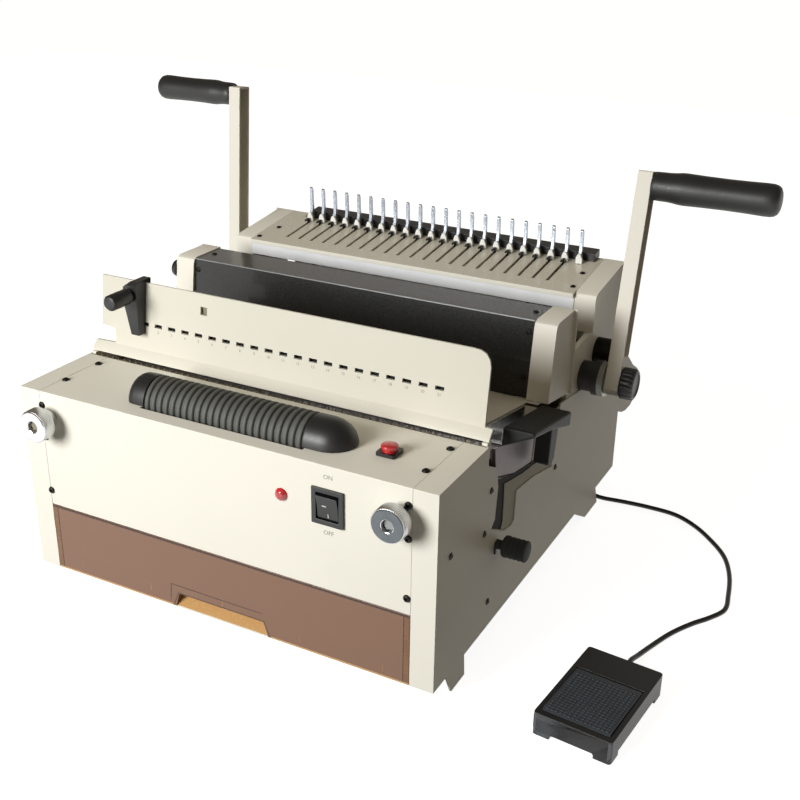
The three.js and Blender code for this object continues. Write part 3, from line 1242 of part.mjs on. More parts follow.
/** Comb shaft with its two cranks and the round ends that stand out of the casing. */
function combShaft(crankAngle) {
  const shaft = join(
    turnedX(bar(-LEFT_ARM_START - ARM_WALL + GAP, COMB_CAP_END, SHAFT_RADIUS), COMB_SHAFT_Y, COMB_SHAFT_Z),
    turnedX(bar(PLATE_OUTER + GAP, COMB_CAP_END, COMB_CAP_RADIUS), COMB_SHAFT_Y, COMB_SHAFT_Z),
    turnedX(bar(-COMB_COLLAR_END, -PLATE_OUTER - GAP, COMB_CAP_RADIUS), COMB_SHAFT_Y, COMB_SHAFT_Z));
  const tip = [
    COMB_SHAFT_Y + CRANK_LENGTH * Math.sin(crankAngle),
    COMB_SHAFT_Z + CRANK_LENGTH * Math.cos(crankAngle),
  ];
  const thin = CRANK_TIP_RADIUS / 2;
  const across = [Math.cos(crankAngle) * thin, -Math.sin(crankAngle) * thin];
  const cranks = [-1, 1].flatMap((side) => {
    const from = side * CRANK_PLACE - CRANK_WIDTH / 2;
    const to = from + CRANK_WIDTH;
    const web = [
      [COMB_SHAFT_Y - across[0] * 4, COMB_SHAFT_Z - across[1] * 4],
      [COMB_SHAFT_Y + across[0] * 4, COMB_SHAFT_Z + across[1] * 4],
      [tip[0] + across[0], tip[1] + across[1]],
      [tip[0] - across[0], tip[1] - across[1]],
    ];
    return [alongX(web, from, to), turnedX(bar(from, to, CRANK_TIP_RADIUS), ...tip, ROUND_SIDES)];
  });
  return join(shaft, ...cranks);
}

/** Paper plate with its trough: numbered slots, sight window and stepped left edge. */
function paperPlate() {
  const line = [
    [TROUGH_FRONT_Y, TROUGH_FRONT_Z],
    [TROUGH_BEND_Y, TROUGH_BEND_Z],
    [CREASE_Y, CREASE_Z],
    [PAPER_PLATE_TOP_Y, PAPER_PLATE_TOP_Z],
  ];
  const sheet = alongX(folded(line.reverse(), SHEET), -TROUGH_HALF_WIDTH, TROUGH_HALF_WIDTH);
  const half = PAPER_PLATE_HALF_WIDTH;
  const step = half - PAPER_PLATE_STEP;
  const top = PAPER_PLATE_TOP_Z + OVERRUN;
  const front = [
    [-TROUGH_HALF_WIDTH - OVERRUN, TROUGH_FRONT_Z - OVERRUN],
    [TROUGH_HALF_WIDTH + OVERRUN, TROUGH_FRONT_Z - OVERRUN],
    [TROUGH_HALF_WIDTH + OVERRUN, CREASE_Z],
    [half, CREASE_Z],
    [half, PAPER_PLATE_TOP_Z, PAPER_PLATE_CORNER],
    [half - PAPER_PLATE_CORNER * 2, PAPER_PLATE_TOP_Z],
    [-half, top],
    [-half, PAPER_PLATE_STEP_Z],
    [-step, PAPER_PLATE_STEP_Z - SHEET],
    [-step, CREASE_Z],
    [-TROUGH_HALF_WIDTH - OVERRUN, CREASE_Z],
  ];
  const reach = [TROUGH_FRONT_Y - OVERRUN, PAPER_PLATE_TOP_Y + OVERRUN];
  const shape = common(sheet, alongY(front, ...reach));
  const dashes = spread(HOLE_COUNT, HOLE_PITCH).map((x) => block(
    [x + DASH_OFFSET - DASH_LENGTH / 2, reach[0], DASH_Z - DASH_HEIGHT / 2],
    [x + DASH_OFFSET + DASH_LENGTH / 2, reach[1], DASH_Z + DASH_HEIGHT / 2]));
  const sight = block(
    [SIGHT_X - SIGHT_SIZE / 2, reach[0], SIGHT_Z - SIGHT_SIZE / 2],
    [SIGHT_X + SIGHT_SIZE / 2, reach[1], SIGHT_Z + SIGHT_SIZE / 2]);
  return cut(shape, ...dashes, sight);
}

/** Toothed strip along the coil throat: one tooth for each turn of a coil. */
function throatStrip() {
  const half = PANEL_INNER - GAP;
  const body = block(
    [-half, DECK_DEPTH + GAP, STRIP_FOOT_Z],
    [half, DECK_DEPTH + GAP + STRIP_SHEET, DECK_HEIGHT]);
  const count = Math.floor((2 * half) / STRIP_TOOTH_PITCH);
  const teeth = spread(count, STRIP_TOOTH_PITCH).map((x) => alongY([
    [x - STRIP_TOOTH_WIDTH / 2, DECK_HEIGHT - GAP],
    [x + STRIP_TOOTH_WIDTH / 2, DECK_HEIGHT - GAP],
    [x, DECK_HEIGHT + STRIP_TOOTH_HEIGHT],
  ], DECK_DEPTH + GAP, DECK_DEPTH + GAP + STRIP_SHEET));
  return join(body, ...teeth);
}

/** Depth of the paper plate's front face at a height. */
function plateFace(z) {
  const share = (z - CREASE_Z) / (PAPER_PLATE_TOP_Z - CREASE_Z);
  return CREASE_Y + share * (PAPER_PLATE_TOP_Y - CREASE_Y);
}

/** Edge guide: kite-shaped front, hooked over the top of the paper plate. */
function edgeGuide() {
  const height = GUIDE_TOP_Z - GUIDE_FOOT_Z;
  const kite = placed(GUIDE_WING_SHARES, -GUIDE_WING_WIDTH, height, GUIDE_X, GUIDE_FOOT_Z);
  const rearY = plateFace(GUIDE_TOP_Z) + SHEET * 2;
  const legY = plateFace(GUIDE_TOP_Z - GUIDE_REAR_LEG) + SHEET * 2;
  const face = (z) => plateFace(z) - GAP;
  const profile = [
    [GUIDE_FRONT_Y, GUIDE_FOOT_Z],
    [face(GUIDE_FOOT_Z), GUIDE_FOOT_Z],
    [face(PAPER_PLATE_TOP_Z), PAPER_PLATE_TOP_Z + GAP],
    [rearY, PAPER_PLATE_TOP_Z + GAP],
    [legY, GUIDE_TOP_Z - GUIDE_REAR_LEG],
    [legY + GUIDE_REAR_THICKNESS, GUIDE_TOP_Z - GUIDE_REAR_LEG],
    [rearY + GUIDE_REAR_THICKNESS, PAPER_PLATE_TOP_Z + GUIDE_HOOK],
    [GUIDE_FRONT_Y + GUIDE_HOOK, PAPER_PLATE_TOP_Z + GUIDE_HOOK],
    [GUIDE_FRONT_Y, PAPER_PLATE_TOP_Z],
  ];
  const body = common(
    alongX(profile, GUIDE_X - GUIDE_WING_WIDTH, GUIDE_X),
    alongY(kite, GUIDE_FRONT_Y - OVERRUN, rearY + OVERRUN * 2));
  const hole = turnedY(bar(GUIDE_FRONT_Y - OVERRUN, rearY + OVERRUN * 2, GUIDE_STEM_RADIUS + GAP),
    GUIDE_KNOB_X, GUIDE_KNOB_Z, SMALL_SIDES);
  const keep = block(
    [GUIDE_X - GUIDE_WING_WIDTH, face(GUIDE_KNOB_Z) - GAP, GUIDE_FOOT_Z],
    [GUIDE_X, rearY * 2, GUIDE_TOP_Z]);
  return cut(body, cut(hole, keep));
}

/** Long screw knob of the edge guide. */
function guideKnob() {
  const end = GUIDE_KNOB_END_Y;
  const foot = GUIDE_FRONT_Y - GAP;
  const chamfer = GUIDE_KNOB_CHAMFER;
  const body = turnedY([
    [end, 0],
    [end, GUIDE_KNOB_RADIUS - chamfer],
    [end + chamfer, GUIDE_KNOB_RADIUS],
    [foot - GUIDE_KNOB_RADIUS * GUIDE_KNOB_NECK_SHARES[0], GUIDE_KNOB_RADIUS],
    [foot, GUIDE_KNOB_RADIUS * GUIDE_KNOB_NECK_SHARES[1]],
    [foot, 0],
  ], GUIDE_KNOB_X, GUIDE_KNOB_Z);
  const stem = turnedY(bar(foot - GAP, plateFace(GUIDE_KNOB_Z) - GAP * 3, GUIDE_STEM_RADIUS),
    GUIDE_KNOB_X, GUIDE_KNOB_Z, SMALL_SIDES);
  return join(body, stem);
}

/** Grooved rubber sleeve of the coil roller. */
function rollerSleeve() {
  const pitch = ROLLER_RIB_PITCH;
  const groove = ROLLER_RADIUS - ROLLER_GROOVE_DEPTH;
  const bore = ROLLER_SHAFT_RADIUS + SLEEVE_BORE_GAP;
  const ribs = Array.from({ length: ROLLER_RIBS }, (_, index) => {
    const start = ROLLER_START_X + index * pitch;
    return [
      [start + pitch * ROLLER_RIB_SHARES[0], groove],
      [start + pitch * ROLLER_RIB_SHARES[1], ROLLER_RADIUS],
      [start + pitch * ROLLER_RIB_SHARES[2], ROLLER_RADIUS],
    ];
  }).flat();
  const ends = [[ROLLER_END_X, groove], [ROLLER_END_X, bore], [ROLLER_START_X, bore]];
  const profile = [[ROLLER_START_X, bore], ...ribs, ...ends];
  return turnedX(profile, ROLLER_Y, DECK_HEIGHT, ROLLER_SIDES);
}

/** Fixed half-round cap over one end of the roller, hollow over the bearing. */
function rollerCap(from, to, domed) {
  const away = Math.sign(to - from);
  const length = Math.abs(to - from);
  const shell = (radius, reach) => {
    const steps = CURVE_STEPS + 1;
    const curve = length * (domed ? DOME_CURVE_SHARE : CAP_CURVE_SHARE);
    const start = from + away * (reach - curve);
    const arc = Array.from({ length: steps + 1 }, (_, index) => {
      const angle = (Math.PI / 2) * (index / steps);
      const drop = domed ? radius : radius * CAP_DROP_SHARE;
      return [start + away * curve * Math.sin(angle), radius - drop * (1 - Math.cos(angle))];
    });
    return [[from, 0], [from, radius], ...arc, [from + away * reach, 0]];
  };
  const outer = turnedX(shell(ROLLER_RADIUS, length), ROLLER_Y, DECK_HEIGHT);
  const inner = turnedX(shell(ROLLER_RADIUS - CAP_WALL, length - CAP_WALL), ROLLER_Y, DECK_HEIGHT);
  const reach = length + OVERRUN;
  const below = block(
    [from - reach, ROLLER_Y - ROLLER_RADIUS - OVERRUN, DECK_HEIGHT - ROLLER_RADIUS - OVERRUN],
    [from + reach, ROLLER_Y + ROLLER_RADIUS + OVERRUN, DECK_HEIGHT + GAP]);
  return cut(outer, inner, below);
}

/** Roller shaft with the driven pulley under the right cap. */
function rollerShaft() {
  const left = ROLLER_START_X - LEFT_CAP_LENGTH + CAP_WALL + GAP * 2;
  const start = PULLEY_X - PULLEY_WIDTH / 2;
  return turnedX([
    [left, 0], [left, ROLLER_SHAFT_RADIUS], [start, ROLLER_SHAFT_RADIUS], ...pulley(start, PULLEY_RADIUS),
    [start + PULLEY_WIDTH, 0],
  ], ROLLER_Y, DECK_HEIGHT);
}

/** Rim profile of a flat-belt pulley. */
function pulley(start, radius) {
  const flange = (PULLEY_WIDTH - BELT_WIDTH) / 2 - GAP;
  const end = start + PULLEY_WIDTH;
  return [
    [start, radius + PULLEY_RIM], [start + flange, radius + PULLEY_RIM], [start + flange, radius],
    [end - flange, radius], [end - flange, radius + PULLEY_RIM], [end, radius + PULLEY_RIM],
  ];
}

/** Bearing block that stands on the deck under a roller cap. */
function bearingBlock(middle) {
  const half = BEARING_WIDTH / 2;
  const post = block(
    [middle - half, ROLLER_Y - BEARING_HALF_DEPTH, DECK_HEIGHT - BEARING_DROP],
    [middle + half, ROLLER_Y + BEARING_HALF_DEPTH, DECK_HEIGHT + BEARING_RISE]);
  const foot = block(
    [middle - half, ROLLER_Y - BEARING_FOOT, DECK_HEIGHT + GAP],
    [middle + half, ROLLER_Y + BEARING_FOOT, DECK_HEIGHT + GAP + BEARING_FOOT_HEIGHT]);
  const bore = turnedX(bar(middle - half - OVERRUN, middle + half + OVERRUN, ROLLER_SHAFT_RADIUS + GAP),
    ROLLER_Y, DECK_HEIGHT, ROUND_SIDES);
  return cut(join(post, foot), bore);
}

/** Geared motor hung under the deck on its bracket. */
function driveMotor() {
  const end = PULLEY_X - PULLEY_WIDTH;
  const start = end - MOTOR_LENGTH;
  const can = turnedX([
    [start, 0], [start, MOTOR_RADIUS * MOTOR_RIM_SHARE], [start + SHEET, MOTOR_RADIUS],
    [end, MOTOR_RADIUS], [end, 0],
  ], MOTOR_Y, MOTOR_Z);
  const bracket = block(
    [end - MOTOR_BRACKET_WIDTH, MOTOR_Y - MOTOR_RADIUS, MOTOR_Z - MOTOR_RADIUS],
    [end, MOTOR_Y + MOTOR_RADIUS, DECK_HEIGHT - SHEET - GAP]);
  const clear = block(
    [end - MOTOR_BRACKET_WIDTH - OVERRUN, MOTOR_Y - MOTOR_RADIUS - OVERRUN,
      DECK_HEIGHT - ROLLER_RADIUS - OVERRUN],
    [end + OVERRUN, ROLLER_Y + PULLEY_RADIUS + OVERRUN, DECK_HEIGHT]);
  const bore = turnedX(bar(end - MOTOR_BRACKET_WIDTH * 3, end + OVERRUN, ROLLER_SHAFT_RADIUS + GAP),
    MOTOR_Y, MOTOR_Z, ROUND_SIDES);
  return cut(join(can, cut(bracket, clear)), bore);
}

/** Motor shaft and its pulley. */
function motorPulley() {
  const start = PULLEY_X - PULLEY_WIDTH / 2;
  const shaftStart = PULLEY_X - PULLEY_WIDTH - MOTOR_BRACKET_WIDTH * 3 + GAP;
  return turnedX([
    [shaftStart, 0], [shaftStart, ROLLER_SHAFT_RADIUS], [start, ROLLER_SHAFT_RADIUS],
    ...pulley(start, MOTOR_PULLEY_RADIUS), [start + PULLEY_WIDTH, 0],
  ], MOTOR_Y, MOTOR_Z);
}

/** Corners of a loop drawn tight round both pulleys at a distance from their rims. */
function beltLoop(distance) {
  const upper = new THREE.Vector2(ROLLER_Y, DECK_HEIGHT);
  const lower = new THREE.Vector2(MOTOR_Y, MOTOR_Z);
  const along = lower.clone().sub(upper);
  const heading = Math.atan2(along.y, along.x);
  const lean = Math.acos((PULLEY_RADIUS - MOTOR_PULLEY_RADIUS) / along.length());
  const arc = (centre, radius, first, last) => Array.from({ length: SMALL_SIDES + 1 }, (_, index) => {
    const angle = first + ((last - first) * index) / SMALL_SIDES;
    return [centre.x + radius * Math.cos(angle), centre.y + radius * Math.sin(angle)];
  });
  return [
    ...arc(upper, PULLEY_RADIUS + distance, heading + lean, heading + 2 * Math.PI - lean),
    ...arc(lower, MOTOR_PULLEY_RADIUS + distance, heading - lean, heading + lean),
  ];
}

/** Flat belt between the two pulleys. */
function driveBelt() {
  const from = PULLEY_X - BELT_WIDTH / 2;
  const to = from + BELT_WIDTH;
  return cut(
    alongX(beltLoop(GAP + BELT_THICKNESS), from, to),
    alongX(beltLoop(GAP), from - OVERRUN, to + OVERRUN));
}

/** Square bezel of the roller's push button. */
function buttonBezel() {
  const half = BEZEL_SIZE / 2;
  const low = DECK_HEIGHT + GAP;
  const top = low + BEZEL_HEIGHT;
  const square = placed([[-1, -1], [1, -1], [1, 1], [-1, 1]], half, half, BUTTON_X, BUTTON_Y)
    .map(([x, y]) => [x, y, BEZEL_HEIGHT]);
  const body = turnedZ(bar(low - BEZEL_BODY_DEPTH, low + GAP, BEZEL_BODY_RADIUS), BUTTON_X, BUTTON_Y,
    SMALL_SIDES);
  const well = turnedZ(bar(top - BUTTON_WELL, top + OVERRUN, BUTTON_RADIUS + GAP), BUTTON_X, BUTTON_Y);
  return cut(join(alongZ(square, low, top), body), well);
}

/** Red push button: mushroom cap on a stem in the bezel's well. */
function pushButton() {
  const rest = DECK_HEIGHT + GAP + BEZEL_HEIGHT;
  const foot = rest - BUTTON_WELL + BUTTON_TRAVEL + GAP;
  const skirt = rest + BUTTON_TRAVEL + GAP;
  const top = rest + BUTTON_RISE;
  return turnedZ([
    [foot, 0], [foot, BUTTON_RADIUS], [skirt, BUTTON_RADIUS], [skirt, BUTTON_FLANGE_RADIUS],
    [top - BUTTON_TRAVEL * BUTTON_CROWN_SHARES[0], BUTTON_FLANGE_RADIUS * BUTTON_CROWN_SHARES[1]],
    [top, BUTTON_FLANGE_RADIUS * BUTTON_CROWN_SHARES[2]], [top, 0],
  ], BUTTON_X, BUTTON_Y);
}

/** Red pilot lamp in the front. */
function pilotLamp() {
  return turnedY([
    [-LAMP_HEIGHT, 0], [-LAMP_HEIGHT, LAMP_RADIUS * LAMP_CROWN_SHARES[0]],
    [-LAMP_HEIGHT * LAMP_CROWN_SHARES[1], LAMP_RADIUS * LAMP_CROWN_SHARES[2]],
    [-GAP, LAMP_RADIUS], [-GAP, LAMP_BODY_RADIUS], [LAMP_BODY_DEPTH, LAMP_BODY_RADIUS], [LAMP_BODY_DEPTH, 0],
  ], LAMP_X, LAMP_Z, ROUND_SIDES / 2);
}

/** Frame and body of the mains rocker. */
function switchHousing() {
  const bezel = [SWITCH_WIDTH / 2, SWITCH_HEIGHT / 2];
  const body = [bezel[0] - SWITCH_BEZEL, bezel[1] - SWITCH_BEZEL];
  const well = [bezel[0] - SWITCH_RIM, bezel[1] - SWITCH_RIM];
  const framed = (half, from, to) => block(
    [SWITCH_X - half[0], from, SWITCH_Z - half[1]], [SWITCH_X + half[0], to, SWITCH_Z + half[1]]);
  return cut(
    join(framed(bezel, -SWITCH_BEZEL - GAP, -GAP), framed(body, -GAP * 2, SWITCH_DEPTH)),
    framed(well, -OVERRUN, SWITCH_WELL));
}

/** Rocker of the switch, drawn round its own pivot with one half pressed in. */
function switchRocker() {
  const half = SWITCH_HEIGHT / 2 - SWITCH_RIM - ROCKER_FIT * 2;
  const wide = SWITCH_WIDTH / 2 - SWITCH_RIM - ROCKER_FIT;
  const face = -ROCKER_THICKNESS / 2;
  const back = ROCKER_THICKNESS / 2;
  const corners = [
    [back, -half * ROCKER_BACK_SHARE], [face, -half], [face + ROCKER_FIT, 0], [face, half],
    [back, half * ROCKER_BACK_SHARE], [back + ROCKER_THICKNESS * ROCKER_KEEL_SHARE, 0],
  ];
  return alongX(corners, -wide, wide);
}

/** Knurled front knob with a deep bore in its face. */
function frontKnob(x) {
  const face = FRONT_KNOB_FACE_Y;
  const back = face + FRONT_KNOB_RIM;
  const rim = alongY(ribbed(x, FRONT_KNOB_Z, FRONT_KNOB_RADIUS, FRONT_KNOB_TEETH, FRONT_KNOB_TOOTH),
    face + FRONT_KNOB_TOOTH, back);
  const core = turnedY([
    [face, 0], [face, FRONT_KNOB_RADIUS - FRONT_KNOB_DISH],
    [face + FRONT_KNOB_CHAMFER, FRONT_KNOB_RADIUS - FRONT_KNOB_TOOTH],
    [back, FRONT_KNOB_RADIUS - FRONT_KNOB_TOOTH],
    [back + FRONT_KNOB_CHAMFER, FRONT_KNOB_NECK_RADIUS],
    [-GAP, FRONT_KNOB_NECK_RADIUS], [-GAP, FRONT_KNOB_SHAFT_RADIUS],
    [FRONT_KNOB_SHAFT_END, FRONT_KNOB_SHAFT_RADIUS], [FRONT_KNOB_SHAFT_END, 0],
  ], x, FRONT_KNOB_Z);
  const bore = turnedY(bar(face - OVERRUN, face + FRONT_KNOB_BORE_DEPTH, FRONT_KNOB_BORE), x, FRONT_KNOB_Z,
    SMALL_SIDES);
  return cut(join(rim, core), bore);
}

/** Black pull of the die: slab over the fingers, blunt nose and rear leg, in the leaning frame. */
function diePull() {
  const start = PULL_SLAB_START;
  const end = start + PULL_SLAB_LENGTH;
  const under = PULL_SLAB_TOP - PULL_SLAB_THICKNESS;
  const inner = GUIDE_PLATE_RIGHT + GAP;
  const slab = alongX([
    [start, under - PULL_NOSE_DROP, SHEET],
    [start + PULL_ROUNDING, under - PULL_NOSE_DROP, SHEET],
    [start + PULL_ROUNDING * 2, under, PULL_ROUNDING / 2],
    [end - PULL_LEG_DEPTH, under],
    [end, under - PULL_NOSE_DROP, PULL_ROUNDING],
    [end, PULL_SLAB_TOP, PULL_ROUNDING],
    [start, PULL_SLAB_TOP, SHEET * 2],
  ], inner, inner + PULL_REACH);
  const legStart = DIE_DEPTH - PULL_LEG_DEPTH;
  const leg = alongX([
    [legStart, under + GAP],
    [legStart, PULL_LEG_FOOT, PULL_ROUNDING / 3],
    [DIE_DEPTH, PULL_LEG_FOOT, PULL_ROUNDING],
    [DIE_DEPTH, under + GAP],
  ], inner, inner + PULL_LEG_REACH);
  return join(slab, leg);
}

/** Plunger with a rubber sleeve, low on the right side. */
function lockPlunger() {
  const end = LOCK_KNOB_START + LOCK_KNOB_LENGTH;
  return turnedX([
    [LOCK_STEM_START, 0], [LOCK_STEM_START, LOCK_STEM_RADIUS], [LOCK_KNOB_START, LOCK_STEM_RADIUS],
    [LOCK_KNOB_START, LOCK_KNOB_RADIUS - LOCK_WAIST], [LOCK_KNOB_START + LOCK_WAIST, LOCK_KNOB_RADIUS],
    [(LOCK_KNOB_START + end) / 2, LOCK_KNOB_RADIUS - LOCK_WAIST], [end - LOCK_WAIST, LOCK_KNOB_RADIUS],
    [end, LOCK_KNOB_RADIUS - LOCK_WAIST], [end, 0],
  ], LOCK_Y, LOCK_Z);
}

/** Pedal housing, drawn round its own middle: raised back, well for the tread and moulded feet. */
function pedalBase() {
  const half = [PEDAL_WIDTH / 2, PEDAL_LENGTH / 2];
  const plan = placed([[-1, -1], [1, -1], [1, 1], [-1, 1]], ...half).map(([x, y]) => [x, y, PEDAL_ROUNDING]);
  const shell = alongZ(plan, 0, PEDAL_HEIGHT);
  const wellFront = -half[1] + TREAD_FRONT - GAP;
  const well = block(
    [-TREAD_WIDTH / 2 - GAP, wellFront, PEDAL_HEIGHT - TREAD_WELL],
    [TREAD_WIDTH / 2 + GAP, wellFront + TREAD_LENGTH + GAP * 2, PEDAL_HEIGHT + OVERRUN]);
  const belly = [
    block([-half[0] - OVERRUN, -half[1] + PEDAL_FOOT_LENGTH, -OVERRUN],
      [half[0] + OVERRUN, half[1] - PEDAL_FOOT_LENGTH, PEDAL_BELLY]),
    block([-half[0] + PEDAL_FOOT_LENGTH, -half[1] - OVERRUN, -OVERRUN],
      [half[0] - PEDAL_FOOT_LENGTH, half[1] + OVERRUN, PEDAL_BELLY]),
  ];
  const boot = turnedY([
    [half[1] - PEDAL_WALL, 0], [half[1] - PEDAL_WALL, BOOT_RADIUS],
    [half[1] + BOOT_LENGTH * BOOT_COLLAR_SHARE, BOOT_RADIUS],
    [half[1] + BOOT_LENGTH, CORD_RADIUS + GAP], [half[1] + BOOT_LENGTH, 0],
  ], BOOT_X, BOOT_Z, SMALL_SIDES);
  return join(cut(shell, well, ...belly), boot);
}

/** Hinged tread of the pedal, drawn round its hinge line, with a knuckle along the back. */
function pedalTread() {
  const half = TREAD_WIDTH / 2 - GAP;
  const front = -TREAD_LENGTH + TREAD_KNUCKLE_RADIUS;
  const top = TREAD_KNUCKLE_RADIUS;
  const corners = [
    [0, top - TREAD_THICKNESS],
    [front, top - TREAD_THICKNESS],
    [front, top],
    [front + TREAD_THICKNESS, top + TREAD_PROUD],
    [0, top],
  ];
  const knuckle = turnedX(bar(-half, half, TREAD_KNUCKLE_RADIUS), 0, 0, SMALL_SIDES);
  return join(alongX(corners, -half, half), knuckle);
}

/** Gland in the base pan's lug, where the pedal lead leaves the machine. */
function cordGland() {
  const start = GLAND_LUG_X - GLAND_NECK;
  const face = GLAND_LUG_X + SHEET + GAP;
  return turnedX([
    [start, 0], [start, GLAND_NECK], [face, GLAND_NECK], [face, GLAND_RADIUS],
    [face + GLAND_LENGTH * GLAND_COLLAR_SHARE, GLAND_RADIUS], [face + GLAND_LENGTH, CORD_RADIUS + GAP * 2],
    [face + GLAND_LENGTH, 0],
  ], GLAND_Y, GLAND_Z, SMALL_SIDES);
}

/** Pedal lead: a round tube along its route. */
function pedalCord() {
  const points = CORD_ROUTE.map((point) => new THREE.Vector3(...point));
  const path = new THREE.CatmullRomCurve3(points, false, 'centripetal');
  const section = outline(circle(0, 0, CORD_RADIUS, CORD_SIDES));
  return new THREE.ExtrudeGeometry(section, { steps: CORD_STEPS, extrudePath: path, bevelEnabled: false });
}

const machine = new THREE.Group();

// Casing
piece(machine, 'base_pan', basePan(), CREAM);
piece(machine, 'left_side_panel', sidePanel(-1), CREAM);
piece(machine, 'right_side_panel', sidePanel(1), CREAM);
piece(machine, 'front_cover', frontCover(), CREAM);
piece(machine, 'rear_panel', block(
  [-PANEL_INNER + GAP, BASE_DEPTH - SHEET, UNDERSIDE],
  [PANEL_INNER - GAP, BASE_DEPTH, DECK_HEIGHT - REAR_PANEL_DROP]), CREAM);
piece(machine, 'left_side_plate', sidePlate(-1), STEEL);
piece(machine, 'right_side_plate', sidePlate(1), STEEL);
piece(machine, 'chip_drawer', chipDrawer(), SMOKED);
piece(machine, 'throat_strip', throatStrip(), CREAM);
piece(machine, 'paper_plate', paperPlate(), CREAM);
piece(machine, 'edge_guide', edgeGuide(), BLACK_PLASTIC);
piece(machine, 'edge_guide_knob', guideKnob(), BLACK_PLASTIC);

// Leaning bed with the die
const bed = new THREE.Group();
bed.position.set(0, BED_FRONT, BED_HEIGHT);
bed.rotation.x = -TILT;
machine.add(bed);
const camPlace = toBed(PUNCH_SHAFT_Y, PUNCH_SHAFT_Z);
piece(bed, 'rear_deck', rearDeck(camPlace[0]), CREAM);
piece(bed, 'guide_plate', guidePlate(), CHROME);
piece(bed, 'throat_anvil', throatAnvil(), STEEL);
piece(bed, 'die_bed', dieBed(), STEEL);
piece(bed, 'punch_die', punchDie(), GREY_STEEL);
piece(bed, 'pin_bar', pinBar(), STEEL);
piece(bed, 'press_bar', pressBar(camPlace), STEEL);
piece(bed, 'die_pull', diePull(), BLACK_PLASTIC);
piece(machine, 'side_plunger', lockPlunger(), RUBBER);

// Punch unit and its handle
piece(machine, 'punch_cover', punchCover(), BLACK_PAINT);
piece(machine, 'punch_end_left', punchEnd(-1), CREAM);
piece(machine, 'punch_end_right', punchEnd(1), CREAM);
piece(machine, 'punch_end_dome', turnedX([
  [-BRACKET_OUTER - GAP, 0], [-BRACKET_OUTER - GAP, DOME_RADIUS],
  [-BRACKET_OUTER - DOME_HEIGHT * DOME_CROWN_SHARES[0], DOME_RADIUS * DOME_CROWN_SHARES[1]],
  [-BRACKET_OUTER - DOME_HEIGHT, DOME_RADIUS * DOME_CROWN_SHARES[2]],
  [-BRACKET_OUTER - DOME_HEIGHT, 0],
], DOME_Y, DOME_Z), BLACK_PLASTIC);
piece(machine, 'punch_shaft', punchShaft(), STEEL);
piece(machine, 'punch_hub', punchHub(), BLACK_PLASTIC);
const punchHandle = new THREE.Group();
punchHandle.position.set(0, PUNCH_SHAFT_Y, PUNCH_SHAFT_Z);
punchHandle.rotation.x = -PUNCH_ARM_LEAN * RAD;
machine.add(punchHandle);
piece(punchHandle, 'punch_handle_arm',
  handleArm(1, ARM_START, PUNCH_GRIP_REACH + ARM_TIP, PUNCH_GRIP_REACH), CREAM);
piece(punchHandle, 'punch_handle_grip',
  grip(ARM_START + ARM_WIDTH + GAP, ARM_START - GAP, GRIP_END, GRIP_RADIUS, PUNCH_GRIP_REACH), BLACK_PLASTIC);
piece(punchHandle, 'punch_handle_knob', capKnob(), BLACK_PLASTIC);

// Comb opener and its handle
const crankAngle = (COMB_SWING / 2) * RAD;
const combFrame = new THREE.Group();
combFrame.position.set(0, COMB_FRONT_Y, COMB_FRONT_Z);
combFrame.rotation.x = COMB_TILT * RAD;
machine.add(combFrame);
const crankTip = new THREE.Vector3(
  0,
  COMB_SHAFT_Y + CRANK_LENGTH * Math.sin(crankAngle),
  COMB_SHAFT_Z + CRANK_LENGTH * Math.cos(crankAngle));
combFrame.updateMatrixWorld();
combFrame.worldToLocal(crankTip);
piece(combFrame, 'comb_plate', combPlate(), CREAM);
piece(combFrame, 'prong_comb', prongComb(), CHROME);
piece(combFrame, 'hook_carriage', hookCarriage(crankTip.y), WHITE_PLASTIC);
piece(machine, 'comb_front_strip', block(
  [-BRACKET_INNER + GAP, COMB_FRONT_Y + STRIP_SETBACK, COMB_FRONT_Z - COMB_PLATE_SHEET - GAP - STRIP_DROP],
  [BRACKET_INNER - GAP, COMB_FRONT_Y + STRIP_SETBACK + SHEET, COMB_FRONT_Z - COMB_PLATE_SHEET - GAP],
), CHROME);
const capY = COMB_FRONT_Y + COMB_TOP_DEPTH + GAP;
piece(machine, 'comb_rear_cap', alongY([
  [REAR_CAP_LEFT_INSET - BRACKET_INNER, combTop(capY) - REAR_CAP_DROP],
  [BRACKET_INNER - REAR_CAP_RIGHT_INSET, combTop(capY) - REAR_CAP_DROP],
  [BRACKET_INNER - REAR_CAP_RIGHT_INSET, combTop(capY) + REAR_CAP_STAND],
  [REAR_CAP_LEFT_INSET - BRACKET_INNER + REAR_CAP_SLANT, combTop(capY) + REAR_CAP_STAND],
], capY, capY + REAR_CAP_SHEET), BLACK_PLASTIC);
piece(machine, 'comb_end_left', combEnd(-1), CREAM);
piece(machine, 'comb_end_right', combEnd(1), CREAM);
piece(machine, 'comb_shaft', combShaft(crankAngle), STEEL);
const combHandle = new THREE.Group();
combHandle.position.set(0, COMB_SHAFT_Y, COMB_SHAFT_Z);
combHandle.rotation.x = -LEFT_ARM_LEAN * RAD;
machine.add(combHandle);
const leftArm = -LEFT_ARM_START - ARM_WIDTH;
piece(combHandle, 'comb_handle_arm',
  handleArm(-1, leftArm, LEFT_GRIP_REACH + LEFT_ARM_TIP, LEFT_GRIP_REACH), CREAM);
piece(combHandle, 'comb_handle_grip',
  grip(leftArm - GAP, -LEFT_ARM_START, -LEFT_GRIP_END, LEFT_GRIP_RADIUS, LEFT_GRIP_REACH), BLACK_PLASTIC);

